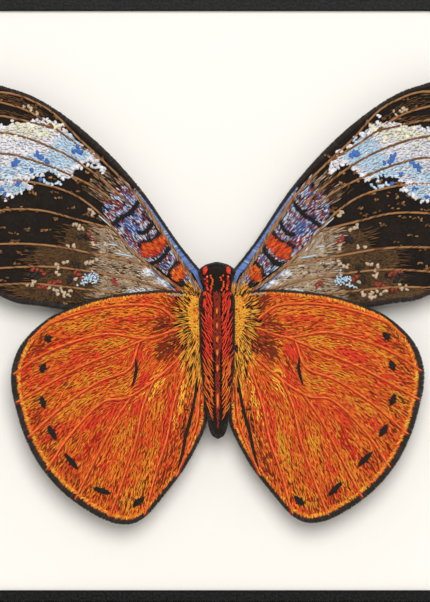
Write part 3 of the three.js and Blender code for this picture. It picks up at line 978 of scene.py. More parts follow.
# Black marks: out, up, half length, half width
HINDWING_DASHES = [
    (55.3, -12, 1.1, 0.8), (57.1, -21.6, 1.4, 0.85), (57.2, -32.8, 1.7, 0.8), (54.2, -42.8, 2.1, 0.85),
    (48, -52.2, 3.0, 0.75), (38.2, -61.8, 2.7, 0.75), (26.4, -65.6, 1.9, 0.85),
]
HINDWING_NOTCH = [(26.8, -19.5), (26.6, -22), (27.1, -25), (27.7, -27)]
INNER_LINE = [(6.8, -25.9), (7.5, -31.2), (8.8, -37.4), (10.3, -42.7), (11.5, -48.5), (13.2, -55.3)]
HUB = [(4.6, 1.8), (7.6, 1.4), (9.2, -1), (9.6, -4), (9.2, -8), (8, -11), (6.6, -14), (5, -15.5)]
HUB_GROUND = [
    (4.6, 2.6), (9, 3), (13.5, 1.8), (15, -3), (14.6, -9), (12.6, -15), (10.4, -22), (8, -30),
    (5, -31),
]
# Threads, count, turns, start beyond the hub, length, height
HUB_RAYS = [
    ({"rust": 2, "brick": 1, "ember": 1}, 210, (-98, 50), (0.2, 7), (1.6, 2.8), 1.12),
    ({"orange": 1, "ember": 1, "amber": 0.6}, 150, (-98, 50), (1, 8), (1.6, 2.8), 1.16),
    ({"gold": 2, "amber": 1}, 150, (-60, 98), (-1.2, 4.4), (2.0, 4.0), 1.26),
    ({"gold": 2, "amber": 1}, 190, (-98, -55), (-2, 9), (2.4, 5.0), 1.26),
    ({"black": 1}, 95, (-60, 45), (-0.2, 3.4), (1.0, 2.4), 1.32),
    ({"black": 1}, 95, (-98, -45), (-1, 8), (1.4, 3.4), 1.32),
    ({"gold": 1}, 50, (-98, 60), (0, 4.4), (1.6, 3.2), 1.42),
    ({"gold": 1.6, "amber": 1.2, "orange": 1.2}, 90, (-89, -77), (7, 15), (2.0, 4.0), 1.22),
]
HUB_FOCUS = (4, -6)
RAY_WIDTH = 0.31
BODY_EDGE = 4.8
# Dark red stitches along each hindwing vein's lower side: painted shadow of the raised cord
VEIN_PAINTED_SHADOW = dict(threads={"red": 1, "brick": 1, "ember": 1}, pitch=1.0, length=2.6, width=0.38, slant=0.02,
                  height=1.3)
VEIN_CORD = dict(threads={"coral": 2, "orange": 2}, pitch=0.7, length=2.2, width=0.54, slant=0.14,
                 height=1.45)
VEIN_REACH = 1.2
VEIN_RED = 0.2
RIM_MIDDLE = 6
RIM_REACH = 2.5
RIM_BROWN = 0.3


def vein_distance(places, lines):
    return np.min([nearest(places, line)[0] for line in lines], axis=0)


def hindwing_fill(rng, lines, edge):
    """Orange stitches, redder along the veins and browner in a band inside the outer edge."""
    rows = sown(edge, rng, lines, HINDWING_THREADS, spacing=0.675, length=(1.6, 3.0), width=0.45, wander=10,
                lift=0.1, patches=HINDWING_PATCHES, clusters=5.0)
    rows = rows[~within(rows[:, 0:2], np.array(HUB_GROUND, float))]
    by_vein = np.exp(-(vein_distance(rows[:, 0:2], lines) / VEIN_REACH) ** 2)
    redder = rng.random(len(rows)) < VEIN_RED * by_vein
    rows[redder, 8:11] = THREADS["scarlet"]
    outline = smooth_line(HINDWING_OUTLINE, 2)
    rim = nearest(rows[:, 0:2], outline[len(outline) // 3:])[0]
    by_rim = np.exp(-((rim - RIM_MIDDLE) / RIM_REACH) ** 2)
    browner = rng.random(len(rows)) < RIM_BROWN * by_rim * (1 - by_vein)
    rows[browner, 8:11] = THREADS["rust"]
    return rows


# Single black stitches: out, up, turn
SHORT_MARKS = [
    (26.2, -22.4, -20), (10.2, -35.6, 10), (11, -38.6, -60), (11.4, -41, -65), (11.8, -43, -60),
]
BLACK_CORD = dict(threads={"black": 1}, pitch=0.7, length=1.8, width=0.42, slant=0.1, height=1.35)
LINE_PLIES = (-0.42, 0, 0.42)


def dash_rows(rng, lines):
    """Short black marks that lie along the outer edge, each with a barb, and two black lines."""
    outline = smooth_line(HINDWING_OUTLINE, 1)
    black = THREADS["black"]
    groups = []
    for out, up, half_long, half_wide in HINDWING_DASHES:
        index = nearest(np.array([[out, up]]), outline)[1][0]
        way = headings(outline)[index]
        turn = math.degrees(math.atan2(way[1], way[0])) + rng.normal(0, 6)
        mark = oval(out, up, half_long, half_wide, turn)
        groups.append(sown(mark, rng, lines, {"black": 1}, spacing=0.3, length=(0.8, 1.6), wander=10,
                           height=1.3, turn=turn))
        barb = np.array([[out, up]]) + way * rng.uniform(-0.5, 0.5)
        groups.append(stitches(barb, left_of(way[None]), 3.0, width=0.75, height=1.45, colours=black))
    for points, width in ((HINDWING_NOTCH, 0.7), (INNER_LINE, 0.8)):
        middle = smooth_line(points, 1)
        swell = np.sin(np.linspace(0.1, 0.9, len(middle)) * math.pi)
        for ply in LINE_PLIES:
            groups.append(cord_rows(moved_in(middle, ply * width * swell), rng, **BLACK_CORD))
    for out, up, turn in SHORT_MARKS:
        place = np.array([[out, up]])
        groups.append(stitches(place, way_at(turn), length=1.8, width=STOUT, height=1.35, colours=black))
    return groups


def hub_reach(angles):
    """How far the close gold reaches from the hub's middle: further below than to the side."""
    down = np.maximum(-np.sin(angles) - 0.75, 0) / 0.25
    return 5.2 + 1.3 * np.abs(np.sin(angles)) + 5 * down


def hub_rows(rng, lines):
    """Close gold stitches beside the body, and threads that fan out from them."""
    groups = [sown(HUB, rng, lines, {"gold": 3, "amber": 1.1}, spacing=0.44, length=(0.9, 1.5), width=0.42,
                   wander=60, height=1.2)]
    roomy_outline = np.array(HINDWING_OUTLINE) + [0, 4]
    for threads, count, turns, start, length, height in HUB_RAYS:
        angles = np.radians(rng.uniform(*turns, count))
        ways = np.column_stack([np.cos(angles), np.sin(angles)])
        reach = hub_reach(angles) + rng.uniform(*start, count)
        middles = np.array(HUB_FOCUS) + ways * reach[:, None]
        ways = turned(ways, rng.normal(0, 0.08, count))
        colours = mixed(threads, count, rng)
        lengths = rng.uniform(*length, count)
        heights = height + 0.08 * rng.random(count)
        rows = stitches(middles, ways, lengths, RAY_WIDTH, heights, colours)
        groups.append(rows[(rows[:, 0] > BODY_EDGE) & within(rows[:, 0:2], roomy_outline)])
    return groups


def hindwing_vein_rows(rng):
    """Raised cords, each with a line of dark red stitches along its lower side as painted shadow of the
    cord.
    """
    groups = []
    for points in HINDWING_VEINS:
        # Painted shadow: a line of dark red stitches just below the cord
        painted_shadow = moved_in(smooth_line(points, 1), 0.55)
        groups.append(cord_rows(painted_shadow, rng, **VEIN_PAINTED_SHADOW))
        groups.append(cord_rows(points, rng, **VEIN_CORD))
    return groups


def hindwing_edge_rows(rng):
    """A jagged line of short stitches just inside the border, golden at the outer and inner edges."""
    outline = smooth_line(HINDWING_OUTLINE, 0.5)
    widths = border_widths("hindwing", outline)
    count = len(outline)
    line = moved_in(outline, widths + 0.35 + rng.normal(0, 0.12, count))
    ways = turned(left_of(headings(outline)), rng.normal(0.3, 0.35, count))
    part = np.linspace(0, 1, count)
    outer = np.where((part > 0.12) & (part < 0.8), 1.0, 0.0)
    root = np.where((part > 0.036) & (part < 0.066), 4.0, 0.0)
    inner = np.where(part > 0.9, 1.0, 0.0)
    colours = picked({
        "gold": 0.4 + 1.4 * outer + 3 * inner, "amber": 1.2 + 1.8 * outer, "orange": 1.2 - 1.1 * outer,
        "beige": 2.0 * root,
    }, rng)
    lengths = rng.uniform(0.7, 1.3, count) + 0.5 * outer
    return stitches(line, ways, lengths, width=0.4, height=1.28, colours=colours)[part > 0.03]


def add_hindwing(side_name, side):
    rng = np.random.default_rng([21, side + 1])
    to_world = wing_to_world(side, BACKS["hindwing"])
    lines = [smooth_line(points, 1) for points in HINDWING_VEINS]
    outline = smooth_line(HINDWING_OUTLINE, 2)
    edge = moved_in(outline, border_widths("hindwing", outline) * 0.8)
    pieces = [add_felt("hindwing", side_name, to_world)]
    grounds = [(edge, "ember"), (HUB_GROUND, "soot")]
    pieces.append(ground_sheet(f"hindwing_ground_{side_name}", grounds, to_world))
    fill = np.vstack([hindwing_fill(rng, lines, edge)] + hub_rows(rng, lines))
    pieces.append(lay_threads(f"hindwing_stitches_{side_name}", fill, to_world, ORANGE_THREAD, rng,
                              length=5.5, arch=0.45, steps=3))
    over = np.vstack(hindwing_vein_rows(rng) + dash_rows(rng, lines) + [hindwing_edge_rows(rng)])
    pieces.append(lay_threads(f"hindwing_cords_{side_name}", over, to_world, ORANGE_THREAD, rng,
                              length=6, arch=0.5, steps=4, sides=4))
    pieces.append(lay_threads(f"hindwing_border_{side_name}", border_rows("hindwing", rng), to_world,
                              DARK_THREAD, rng, **BORDER_THREAD))
    finish_wing(pieces, "hindwing_embroidery")


# Forewing

PALE = {"white": 5, "lavender": 1.2}
EARTH = {"brown": 3.4, "dark_brown": 1.6, "black": 0.1}
ASH = {"taupe": 3.2, "beige": 1.0, "brown": 0.5, "white": 0.15}
TWEED = {"sky": 1.4, "white": 0.6, "blue": 1.2, "crimson": 1.9, "black": 1.5}
FIRE = {"orange": 1.6, "scarlet": 0.8, "ember": 2.0, "red": 0.4, "brick": 1.2}
GLOW = {"orange": 1.6, "amber": 1.6, "ember": 1.6, "scarlet": 0.4, "brick": 0.5}
STREAK = {"brown": 2.6, "umber": 0.5, "dark_brown": 1.2}

# Ovals where a thread is favoured, as on the hindwing
PALE_PATCHES = {
    "cream": [
        (64, 57, 4, 1.6, -15, 8), (59, 55.8, 4, 1.4, -20, 8), (54.5, 55.6, 3, 1.2, -30, 6),
        (52, 57.8, 2.6, 1, -30, 8), (74, 56, 3, 1.5, 0, 5),
    ],
    "sky": [
        (49.5, 51.5, 4, 2.5, -35, 40), (52, 46.5, 6, 3.2, -25, 40), (61, 45, 5, 2.4, 0, 30),
        (68.5, 42, 3, 1.8, 0, 20), (76, 43, 5, 2.4, 0, 10), (44, 48.5, 4, 1.5, -45, 30),
    ],
}
WHITE_BAND = [
    (37.2, 43.3), (37.8, 45.2), (45.2, 52.2), (49.6, 56.7), (52.4, 58.8), (55.5, 59.5), (59.5, 59.5),
    (62, 58.5), (65, 58), (66.5, 58.5), (69.5, 57), (73, 58.5), (78, 57.5), (83, 57), (87, 54),
    (84, 51), (86, 48), (82, 45), (84, 42), (78, 39.5), (73, 40.5), (66, 40.2), (60.5, 40.5),
    (59.5, 42), (56.5, 42), (54.5, 43.5), (52.5, 41.5), (49.5, 40.5), (47, 42.5), (45, 44.5),
    (42.5, 46), (39.5, 45), (37, 42.5),
]
LOWER_WHITE = [(60.5, 38), (63, 39.2), (66.5, 40), (72, 39.5), (77, 38), (72, 35.5), (68, 34.5), (64, 36)]
BROWN_FIELD = [
    (34.5, 24.5), (40.5, 25), (45, 25.5), (48.5, 23), (50, 18.8), (58.5, 18.2), (60, 14.5), (58, 11.5),
    (60.5, 9.5), (59.5, 6.2), (67, 5.2), (66, 2.5), (58, 0.4), (44, -0.6), (35, 0), (34.5, 13),
    (35.5, 19),
]
TAUPE_FAN = [
    (35.4, 24.6), (29, 18), (22, 11), (14, 4.2), (13, 0), (22, 0.2), (32, 0), (39, 0), (40, 2),
    (37, 8.5), (38, 13.5), (38, 24),
]
CELL = [
    (37.4, 30), (35.4, 34.6), (32, 37.6), (28.4, 37.4), (25.4, 33.8), (22.9, 30.4), (20.2, 25.8),
    (17.4, 21.6), (14.7, 17.5), (12.2, 13.6), (9.3, 9.2), (8, 6.4), (10.5, 4.6), (13.8, 6.6),
    (20.1, 11.2), (24.8, 14.7), (29.5, 18.8), (34.5, 25),
]
CELL_TOP = [(37.4, 44.4), (33.4, 41.2), (30, 38.8), (33, 35.6), (36.8, 31.6), (41.4, 34.6), (40.4, 39)]
FOREWING_GROUNDS = [
    (WHITE_BAND, "ash"), (LOWER_WHITE, "ash"), (BROWN_FIELD, "brown"), (TAUPE_FAN, "brown"),
    (CELL, "slate"),
]
TIP_STREAK = [
    (54.5, 61), (58.5, 63.6), (63, 66), (68, 68), (76, 68.6), (72, 66.6), (67, 65.2), (63, 63),
    (58.5, 60.6),
]
UNDER_TIP = [(57, 60.5), (62, 61.5), (70, 62.6), (78, 64.5), (74, 60.8), (66, 59.6), (60, 59.8)]
BROWN_PATCHES = {"black": [(43, 21, 1.8, 1, 0, 14), (46.5, 11, 1.2, 1.8, 0, 12), (58, 9.5, 2.4, 1.2, 0, 9)]}
BROWN_FRINGE = [
    (46, 26), (52, 25), (53, 21.5), (51.5, 18.8), (62, 18.4), (64, 14), (60.5, 11.4), (63.5, 9),
    (62.5, 6.4), (71, 5.4), (69, 2.4), (60, 0.6), (58, 6), (57, 9), (56, 17), (48, 18),
]
CELL_END = [(43, 38.2), (37, 34.6), (35.5, 33), (40, 34.4), (44.5, 37)]
FAN_PATCHES = {
    "beige": [(24, 6, 7, 1.5, 12, 3)],
    "dark_brown": [(33, 11, 5, 1, 10, 2)],
    "white": [(22.5, 9.5, 1.6, 1, 0, 40), (17.8, 6.3, 1.9, 1.2, 20, 60), (24, 3.2, 4.5, 1, 5, 30)],
    "crimson": [(34, 6.8, 1, 0.6, 0, 30)],
}
FAN_FRINGE = [
    (37, 25), (42, 25), (42, 20), (39.5, 15.5), (41.5, 11), (39.5, 6), (43.5, 1), (37, 0.6), (35, 9),
    (36, 16),
]
CELL_PATCHES = {
    "blue": [(28, 24.4, 3, 1.6, 50, 5), (32, 28, 3, 1, -50, 3)],
    "crimson": [(33, 30, 3, 1, -50, 4), (27, 19.6, 3, 1, 50, 3)],
}
CELL_TOP_THREADS = {"taupe": 0.9, "brown": 1.5, "black": 2.2, "beige": 0.4, "crimson": 0.3}
CELL_RIM = [(31.4, 41.4), (27, 36.4), (24, 32.6), (25.2, 32.2), (28.4, 36.4), (32, 40.4)]
CELL_RIM_THREADS = {"blue": 1, "crimson": 1.5, "white": 0.7, "sky": 0.6, "black": 1}
WING_ROOT = [(10.6, 6.4), (7.6, 7.6), (5.2, 4.6), (4.2, 1), (4, -1.4), (8, -1.6), (11.4, 1.6)]
WING_ROOT_THREADS = {"gold": 1.8, "amber": 1.0, "orange": 0.8, "black": 1.8}
SKY_SPOT = [
    (39, 8.9), (38.2, 7), (39.5, 5.7), (41.9, 6.4), (43.7, 5.4), (46, 5.3), (44.2, 6.8), (43.7, 8.9),
    (41.4, 9.2), (40.7, 11.2), (40.2, 9.4),
]
# Fields of stitches in the order that they are sewn, each over the one before
FOREWING_FIELDS = [
    dict(outline=WHITE_BAND, threads=PALE, patches=PALE_PATCHES, spacing=0.62, length=(1.1, 2.0),
         width=0.66, wander=14, lift=0.06),
    dict(outline=LOWER_WHITE, threads=PALE, patches={"sky": [(67, 37.5, 5, 2, 0, 30)]}, spacing=0.62,
         length=(0.9, 1.6), width=0.66, wander=40, lift=0.06),
    dict(outline=TIP_STREAK, threads=STREAK, spacing=0.8, length=(1.4, 3.0), wander=9),
    dict(outline=UNDER_TIP, threads=STREAK, spacing=0.9, length=(1.4, 3.2), wander=12),
    dict(outline=BROWN_FIELD, threads=EARTH, patches=BROWN_PATCHES, spacing=0.55, length=(0.8, 1.8),
         width=0.38, wander=35, clusters=1.6),
    dict(outline=BROWN_FRINGE, threads=STREAK, spacing=1.15, length=(2.0, 4.0), wander=5, height=1.12),
    dict(outline=CELL_END, threads=STREAK, spacing=0.8, length=(1.2, 2.4), wander=15),
    dict(outline=TAUPE_FAN, threads=ASH, patches=FAN_PATCHES, spacing=0.52, length=(1.3, 2.6), width=0.4,
         wander=13),
    dict(outline=FAN_FRINGE, threads=ASH, spacing=0.95, length=(2.0, 3.6), wander=6, height=1.2),
    dict(outline=CELL, threads=TWEED, patches=CELL_PATCHES, spacing=0.46, length=(1.3, 2.3), width=0.36,
         wander=3, clusters=0.9),
    dict(outline=CELL_TOP, threads=CELL_TOP_THREADS, spacing=0.66, length=(1.6, 3.2), width=0.3, wander=4,
         clusters=1.2),
    dict(outline=CELL_RIM, threads=CELL_RIM_THREADS, spacing=0.5, length=(1.6, 2.6), wander=4),
    dict(outline=WING_ROOT, threads=WING_ROOT_THREADS, spacing=0.5, length=(1.6, 3.2), width=0.3, wander=7,
         height=1.1, clusters=0.9),
    dict(outline=SKY_SPOT, threads={"sky": 3, "white": 0.5}, spacing=0.66, length=(0.8, 1.2), width=0.75,
         wander=60, height=1.3),
]
BEANS = [
    [(25, 16.5), (24.2, 18.6), (21.5, 19.4), (19.5, 20.6), (17.8, 21.8), (16.2, 20.6), (16.6, 18.6),
     (18.5, 16.5), (20.5, 14.7), (23.4, 14)],
    [(15, 8.6), (14.6, 10.6), (12.6, 12), (11, 11), (10, 9.4), (11.3, 7.4), (13, 6.4), (14.6, 7)],
]
# Each bar's line and width
BARS = [
    ([(34.2, 25.2), (31.6, 27.4), (28.6, 29), (26.6, 31.4), (25.4, 33)], 0.9),
    ([(25.8, 22.4), (24, 22.4), (22.2, 23.8), (20.8, 26)], 0.5),
    ([(25.6, 18.2), (23.6, 19.4), (21.8, 19.8), (20.2, 20.6), (18.6, 22.6), (17.6, 22)], 0.9),
    ([(21.2, 12.4), (19.4, 13.2), (17.4, 14.8), (15.8, 17.4), (15, 18)], 0.8),
    ([(15.8, 8.4), (14.8, 10.6), (12.8, 12.6), (11.8, 12.6)], 0.9),
    ([(12.2, 7), (11.4, 6.4), (10.6, 5.2)], 1.4),
]
FOREWING_EXTRA_VEINS = [[(25.5, 34.5), (22, 29.5), (18, 23.5)]]
FOREWING_LINES = [
    ([(11.2, 1.5), (16.3, 5.5), (21.3, 10)], "periwinkle"), ([(28.4, 14.8), (32.4, 15.6)], "sky"),
    ([(34.8, 24.8), (36.4, 26.2), (38, 27.6)], "sky"), ([(33.2, 18.4), (34.6, 18.6)], "sky"),
    ([(10.3, 9.2), (8.4, 6.4), (6.9, 3.8)], "periwinkle"),
    ([(7.7, 9.4), (6.4, 6.8), (5.4, 4.8), (4.7, 3)], "periwinkle"),
    ([(7, 9.2), (5.9, 6.8), (5, 4.8)], "periwinkle"),
]
KNOTS = {
    "beige": [
        (41, 30), (40.2, 28.4), (40.7, 29.2), (46.5, 25.2), (45, 24.6), (43.8, 24), (45.8, 24.8),
        (48.5, 18.4), (46.8, 18.6), (40, 18), (40.2, 19), (42.5, 12.4), (40.8, 13), (39.4, 13.6),
        (41.7, 12.5), (50.5, 13), (49, 13.4), (52.2, 12.4), (52.5, 9.9), (51.9, 8.7), (52.3, 11),
        (46.4, 7.4), (37.5, 2.4), (37.2, 1.4), (62.2, 5.6), (60.8, 5.4), (60, 5.6), (59.6, 6.6),
        (55, 4.4), (53.6, 4), (52.4, 4), (51, 4.2), (51.6, 2.8), (50, 2.4), (48.4, 2.4), (48, 3.6),
        (50.6, 3.4), (62.4, 64), (60.8, 63), (58.6, 62), (61.6, 63.6), (29.4, 6), (28.4, 9.4),
    ],
    "crimson": [
        (41.5, 22), (41, 21), (40.4, 20), (41.2, 21.6), (45.6, 9), (46.2, 9.3), (44.6, 8.2), (34, 6.6),
        (33.2, 5.4), (59.8, 10.7), (58.7, 10.6), (57.4, 10), (56.6, 9.5), (55, 6), (53.4, 6.4),
        (52.6, 6.5), (51.5, 6.5), (58.4, 5.2), (57.3, 5.1), (56.1, 4.9), (54.4, 6.3),
    ],
    "blue": [
        (46, 49), (44.2, 49), (45.4, 50), (44.9, 48.7), (58.4, 48.4), (57.6, 47.6), (57, 47),
        (55.4, 46.4), (65, 46.4), (65.6, 45.6), (66.4, 44.8), (61, 43), (57.6, 40), (65, 38.4),
        (71, 37), (69.4, 35.2),
    ],
    "white": [(86.4, 60.6), (88, 50), (86, 46), (18, 6.2), (22.6, 9.4)],
    "tan": [(54, 40.4), (46.6, 40), (42, 42.4), (41, 39.4), (59, 35.4)],
    "cream": [
        (65, 58), (63.6, 56.7), (61.3, 57.1), (59.9, 57.6), (62.2, 55.3), (59, 55.7), (57.1, 54.8),
        (54.8, 58.9), (52.5, 57.5), (50.7, 57.5), (55.3, 54.2), (65.9, 53), (69.6, 54.3),
    ],
    "sky": [(55.9, 39.7), (54.4, 38.8), (53.2, 38.6), (51.8, 38.6), (51, 39)],
    "onyx": [
        (42.4, 20.8), (43.5, 21.3), (44.4, 21), (46, 12.2), (46.8, 11.4), (47.4, 8.2), (48, 7.2),
        (58.2, 8.4), (59.3, 9.2), (60.4, 9), (61.4, 9.4),
    ],
}
KNOT_SIZES = {
    "beige": 1.0, "crimson": 0.9, "blue": 1.2, "tan": 0.8, "white": 1.2, "cream": 1.15, "sky": 0.95,
    "onyx": 1.2,
}
CORD_OF_VEIN = dict(threads={"tan": 3, "umber": 0.7}, pitch=0.82, length=2.2, width=0.52, slant=0.22,
                    height=1.4)
CORD_AT_ROOT = dict(threads={"taupe": 1, "brown": 1.6, "umber": 1}, pitch=0.75, length=2.2, width=0.5,
                    slant=0.12, height=1.35)
VEINS_WITH_ROOT = (0, 5)
COSTA_STEPS = [0, 0.02, 0.05, 0.1, 0.145]
COSTA_WIDTHS = [1.4, 2.1, 1.5, 1.1, 0.3]
TUFT_SPACING = 5.2
NAP_FIBRES = 480


def bean_rows(rng, lines):
    """The two orange spots in the cell."""
    return [sown(bean, rng, lines, threads, spacing=0.44, length=(1.2, 2.2), wander=5, height=1.35,
                 clusters=0.8)
            for bean, threads in zip(BEANS, (FIRE, GLOW))]


def bar_rows(rng, lines):
    """Black bars across the cell, of stitches laid along the cell."""
    groups = []
    for points, width in BARS:
        line = smooth_line(points, 0.3)
        count = len(line)
        for offset in np.arange(-width / 2, width / 2 + 0.01, 0.5):
            places = moved_in(line, offset + rng.normal(0, 0.12, count))
            ways = turned(grain(places, lines), rng.normal(0, 0.08, count))
            lengths = rng.uniform(0.8, 1.5, count)
            colours = mixed({"black": 1}, count, rng)
            groups.append(stitches(places, ways, lengths, FINE, 1.5, colours))
    return groups


def costa_rows(rng):
    """The blue satin strip beside the leading edge, widest near the body."""
    outline = smooth_line(FOREWING_OUTLINE, 0.3)
    count = len(outline)
    part = np.linspace(0, 1, count)
    width = np.interp(part, COSTA_STEPS, COSTA_WIDTHS)
    middles = moved_in(outline, border_widths("forewing", outline) + width / 2 - 0.1)
    ways = turned(left_of(headings(outline)), rng.normal(0.3, 0.07, count))
    colours = mixed({"periwinkle": 5, "sky": 0.3, "blue": 0.8}, count, rng)
    colours = colours * rng.uniform(0.8, 1.1, (count, 1))
    rows = stitches(middles, ways, width + 0.3, width=0.4, height=1.2, colours=colours)
    return rows[part < COSTA_STEPS[-1]]


def tuft_rows(rng, lines, outline):
    """Small brown tufts of three to six stitches, scattered over the black."""
    places = scattered(outline, TUFT_SPACING, rng, jitter=0.3)
    for field in FOREWING_FIELDS:
        places = places[~within(places, np.array(field["outline"], float))]
    groups = []
    for place in places:
        count = rng.integers(3, 7)
        middles = place + np.column_stack([rng.normal(0, 0.9, count), rng.normal(0, 0.35, count)])
        ways = turned(grain(middles, lines), rng.normal(0, 0.6, count))
        colours = mixed({"tan": 0.9, "brown": 1.3, "umber": 0.8}, count, rng)
        lengths = rng.uniform(0.8, 1.3, count)
        groups.append(stitches(middles, ways, lengths, width=0.6, height=1.12, colours=colours))
    return groups


def nap_rows(rng, outline, count):
    """Loose fibres standing a little out of the felt."""
    places = scattered(outline, math.sqrt(4000 / count), rng, jitter=0.5)
    count = len(places)
    ways = turned(np.tile(ACROSS, (count, 1)), rng.uniform(0, 2 * math.pi, count))
    colours = mixed({"black": 1, "charcoal": 1}, count, rng)
    lengths = rng.uniform(0.7, 1.7, count)
    return stitches(places, ways, lengths, width=0.13, height=0.95, colours=colours)


def forewing_vein_rows(rng):
    """Vein cords, darker where they cross the white, two of them thicker at the root, and blue lines."""
    groups = []
    for number, points in enumerate(FOREWING_VEINS + FOREWING_EXTRA_VEINS):
        rows = cord_rows(points, rng, **CORD_OF_VEIN)
        on_white = within(rows[:, 0:2], np.array(WHITE_BAND)) & (rng.random(len(rows)) < 0.8)
        rows[on_white, 8:11] = THREADS["umber"]
        groups.append(rows)
        if number in VEINS_WITH_ROOT:
            root = smooth_line(points[:3], 1)
            for offset in (-0.35, 0.4):
                groups.append(cord_rows(moved_in(root, offset), rng, **CORD_AT_ROOT))
    for points, thread in FOREWING_LINES:
        groups.append(cord_rows(points, rng, {thread: 1}, pitch=0.6, length=1.8, width=STOUT, slant=0.1,
                                height=1.3))
    return groups


def blob_rows(places, colours, rng, size=1.0, height=1.1):
    """Knots, each of two short fat stitches heaped on one another."""
    count = len(places)
    groups = []
    for layer in range(2):
        middles = places + rng.normal(0, 0.28 * size, (count, 2))
        angles = rng.uniform(0, 1.6, count) + layer * math.pi / 2
        ways = turned(np.tile(ACROSS, (count, 1)), angles)
        shades = colours * rng.uniform(0.84, 1.06, (count, 1))
        lengths = size * rng.uniform(1.1, 1.6, count)
        widths = size * rng.uniform(0.85, 1.15, count)
        groups.append(stitches(middles, ways, lengths, widths, height + 0.15 * layer, shades))
    return np.vstack(groups)


def knot_rows(rng):
    """Single knots, and the rows of knots that make the ragged edge of the white fields."""
    groups = []
    for thread, places in KNOTS.items():
        middles = np.array(places, float) + rng.normal(0, 0.2, (len(places), 2))
        colours = np.tile(THREADS[thread], (len(places), 1))
        groups.append(blob_rows(middles, colours, rng, KNOT_SIZES[thread], 1.2))
    for outline in (WHITE_BAND, LOWER_WHITE):
        line = evenly(np.array(outline + outline[:1], float), 1.25)[:-1]
        line = line + rng.normal(0, 0.5, line.shape)
        groups.append(blob_rows(line, threads_at(line, PALE, PALE_PATCHES, 3.0, rng), rng))
    return np.vstack(groups)


RIGHT_DROP = 0.033
DROP_MARGIN = 0.5
DROP_FADE = 4


def settled(places, side):
    """The right forewing's threads lie lower towards its tip than the left's, but keep off its edge."""
    moved = np.array(places, float)
    room = nearest(moved[:, 0:2], smooth_line(FOREWING_OUTLINE, 1))[0]
    share = np.clip((room - DROP_MARGIN) / DROP_FADE, 0, 1)
    moved[:, 1] -= max(side, 0) * RIGHT_DROP * moved[:, 0] * share
    return moved


def add_forewing(side_name, side):
    rng = np.random.default_rng([11, side + 1])
    to_world = wing_to_world(side, BACKS["forewing"])
    lines = [smooth_line(points, 1) for points in FOREWING_VEINS]
    outline = smooth_line(FOREWING_OUTLINE, 2)
    inner = moved_in(outline, border_widths("forewing", outline))
    pieces = [add_felt("forewing", side_name, to_world)]
    grounds = [(settled(ground, side), thread) for ground, thread in FOREWING_GROUNDS]
    pieces.append(ground_sheet(f"forewing_ground_{side_name}", grounds, to_world))
    fill = [sown(rng=rng, lines=lines, **field) for field in FOREWING_FIELDS]
    fill = settled(np.vstack(fill + [nap_rows(rng, inner, NAP_FIBRES)]), side)
    pieces.append(lay_threads(f"forewing_stitches_{side_name}", fill, to_world, DARK_THREAD, rng,
                              length=4.5, arch=0.5, steps=3))
    over = forewing_vein_rows(rng) + bean_rows(rng, lines) + bar_rows(rng, lines)
    over += tuft_rows(rng, lines, inner)
    over = np.vstack([settled(np.vstack(over), side), costa_rows(rng)])
    pieces.append(lay_threads(f"forewing_cords_{side_name}", over, to_world, DARK_THREAD, rng,
                              length=4.5, arch=0.6, steps=4, sides=4))
    knots = settled(knot_rows(rng), side)
    pieces.append(lay_threads(f"forewing_knots_{side_name}", knots, to_world, DARK_THREAD, rng,
                              length=1.4, arch=0.2, steps=6, sides=5, end=0.12))
    pieces.append(lay_threads(f"forewing_border_{side_name}", border_rows("forewing", rng), to_world,
                              DARK_THREAD, rng, **BORDER_THREAD))
    finish_wing(pieces, "forewing_embroidery")


# Body: places are [across, up], and the dome gives the height above the wings' level

BODY_PROFILE = [
    [0, -45.2], [1.6, -44.5], [2.7, -42.6], [3.35, -39.6], [4.3, -33], [5.1, -25], [5.75, -16],
    [5.85, -5], [5.8, 1], [5, 2.6], [4.3, 4], [5.2, 6.6], [6.2, 9.6], [4.9, 11], [3, 12.1], [0, 12.7],
]
BODY_CENTRE = 3.5
BODY_FLATNESS = 0.75
BODY_UNDERSIDE = 3.0
KEEL_HALF = 2.8
KEEL_ENDS = (-39, 9)
KEEL_EDGE = 0.5
BODY_SIDES = 28
BODY_RINGS = 90
BODY_ENDS = (-45, 12.5)
BODY_TIPS = (-45.15, 12.68)
BODY_ROUNDNESS = 0.85
STEEPEST = 1.5

RED = {"scarlet": 3, "red": 0.9}
ORANGE = {"orange": 3, "amber": 0.6, "ember": 0.5}

# Slanting rows down each side: heights, outer and inner end, drop, threads, width, lift
CHEVRONS = [
    ((-3.5, -20, -1.8), 5.0, 3.8, 2.4, RED, 0.36, 0.25),
    ((2.4, -18, -0.95), 4.0, 3.1, 1.7, RED, 0.38, 0.35),
    ((2.8, -18, -0.95), 3.2, 2.3, 1.7, RED, 0.38, 0.4),
    ((3.4, -18, -0.95), 2.4, 1.6, 1.7, RED, 0.38, 0.45),
    ((-18.5, -31, -1.6), 4.5, 3.4, 2.6, ORANGE, 0.36, 0.25),
    ((-18, -35, -0.9), 3.6, 2.4, 2.2, ORANGE, 0.36, 0.3),
    ((-18, -37.5, -0.9), 2.6, 1.5, 2.0, ORANGE, 0.36, 0.35),
]
# Long knots on the shoulders: height and length
SHOULDER_KNOTS = [(2.2, 1.5), (-0.9, 3.2)]
# Knots down the head: across, heights, threads, length, width, wander, lift
HEAD_KNOTS = [
    (3.2, (7.8, 3, -0.7), RED, 1.05, 0.85, 0.7, 0.35),
    (1.6, (8.2, 3.2, -0.7), {"orange": 2, "scarlet": 1}, 0.85, 0.7, 0.7, 0.35),
    (3.2, (7.9, 7, -1), {"white": 1}, 0.5, 0.35, 0.4, 0.75),
]
BODY_STRIPE = [
    (-0.9, 2.8), (-1.1, 0.6), (-1.0, -5), (-1.5, -7.5), (-1.1, -10), (-1.5, -12.5), (-1.1, -15.5),
    (-0.65, -17), (-0.65, -34), (0, -43.2), (0.65, -34), (0.65, -17), (1.1, -15.5), (1.5, -12.5),
    (1.1, -10), (1.5, -7.5), (1.0, -5), (1.1, 0.6), (0.9, 2.8),
]
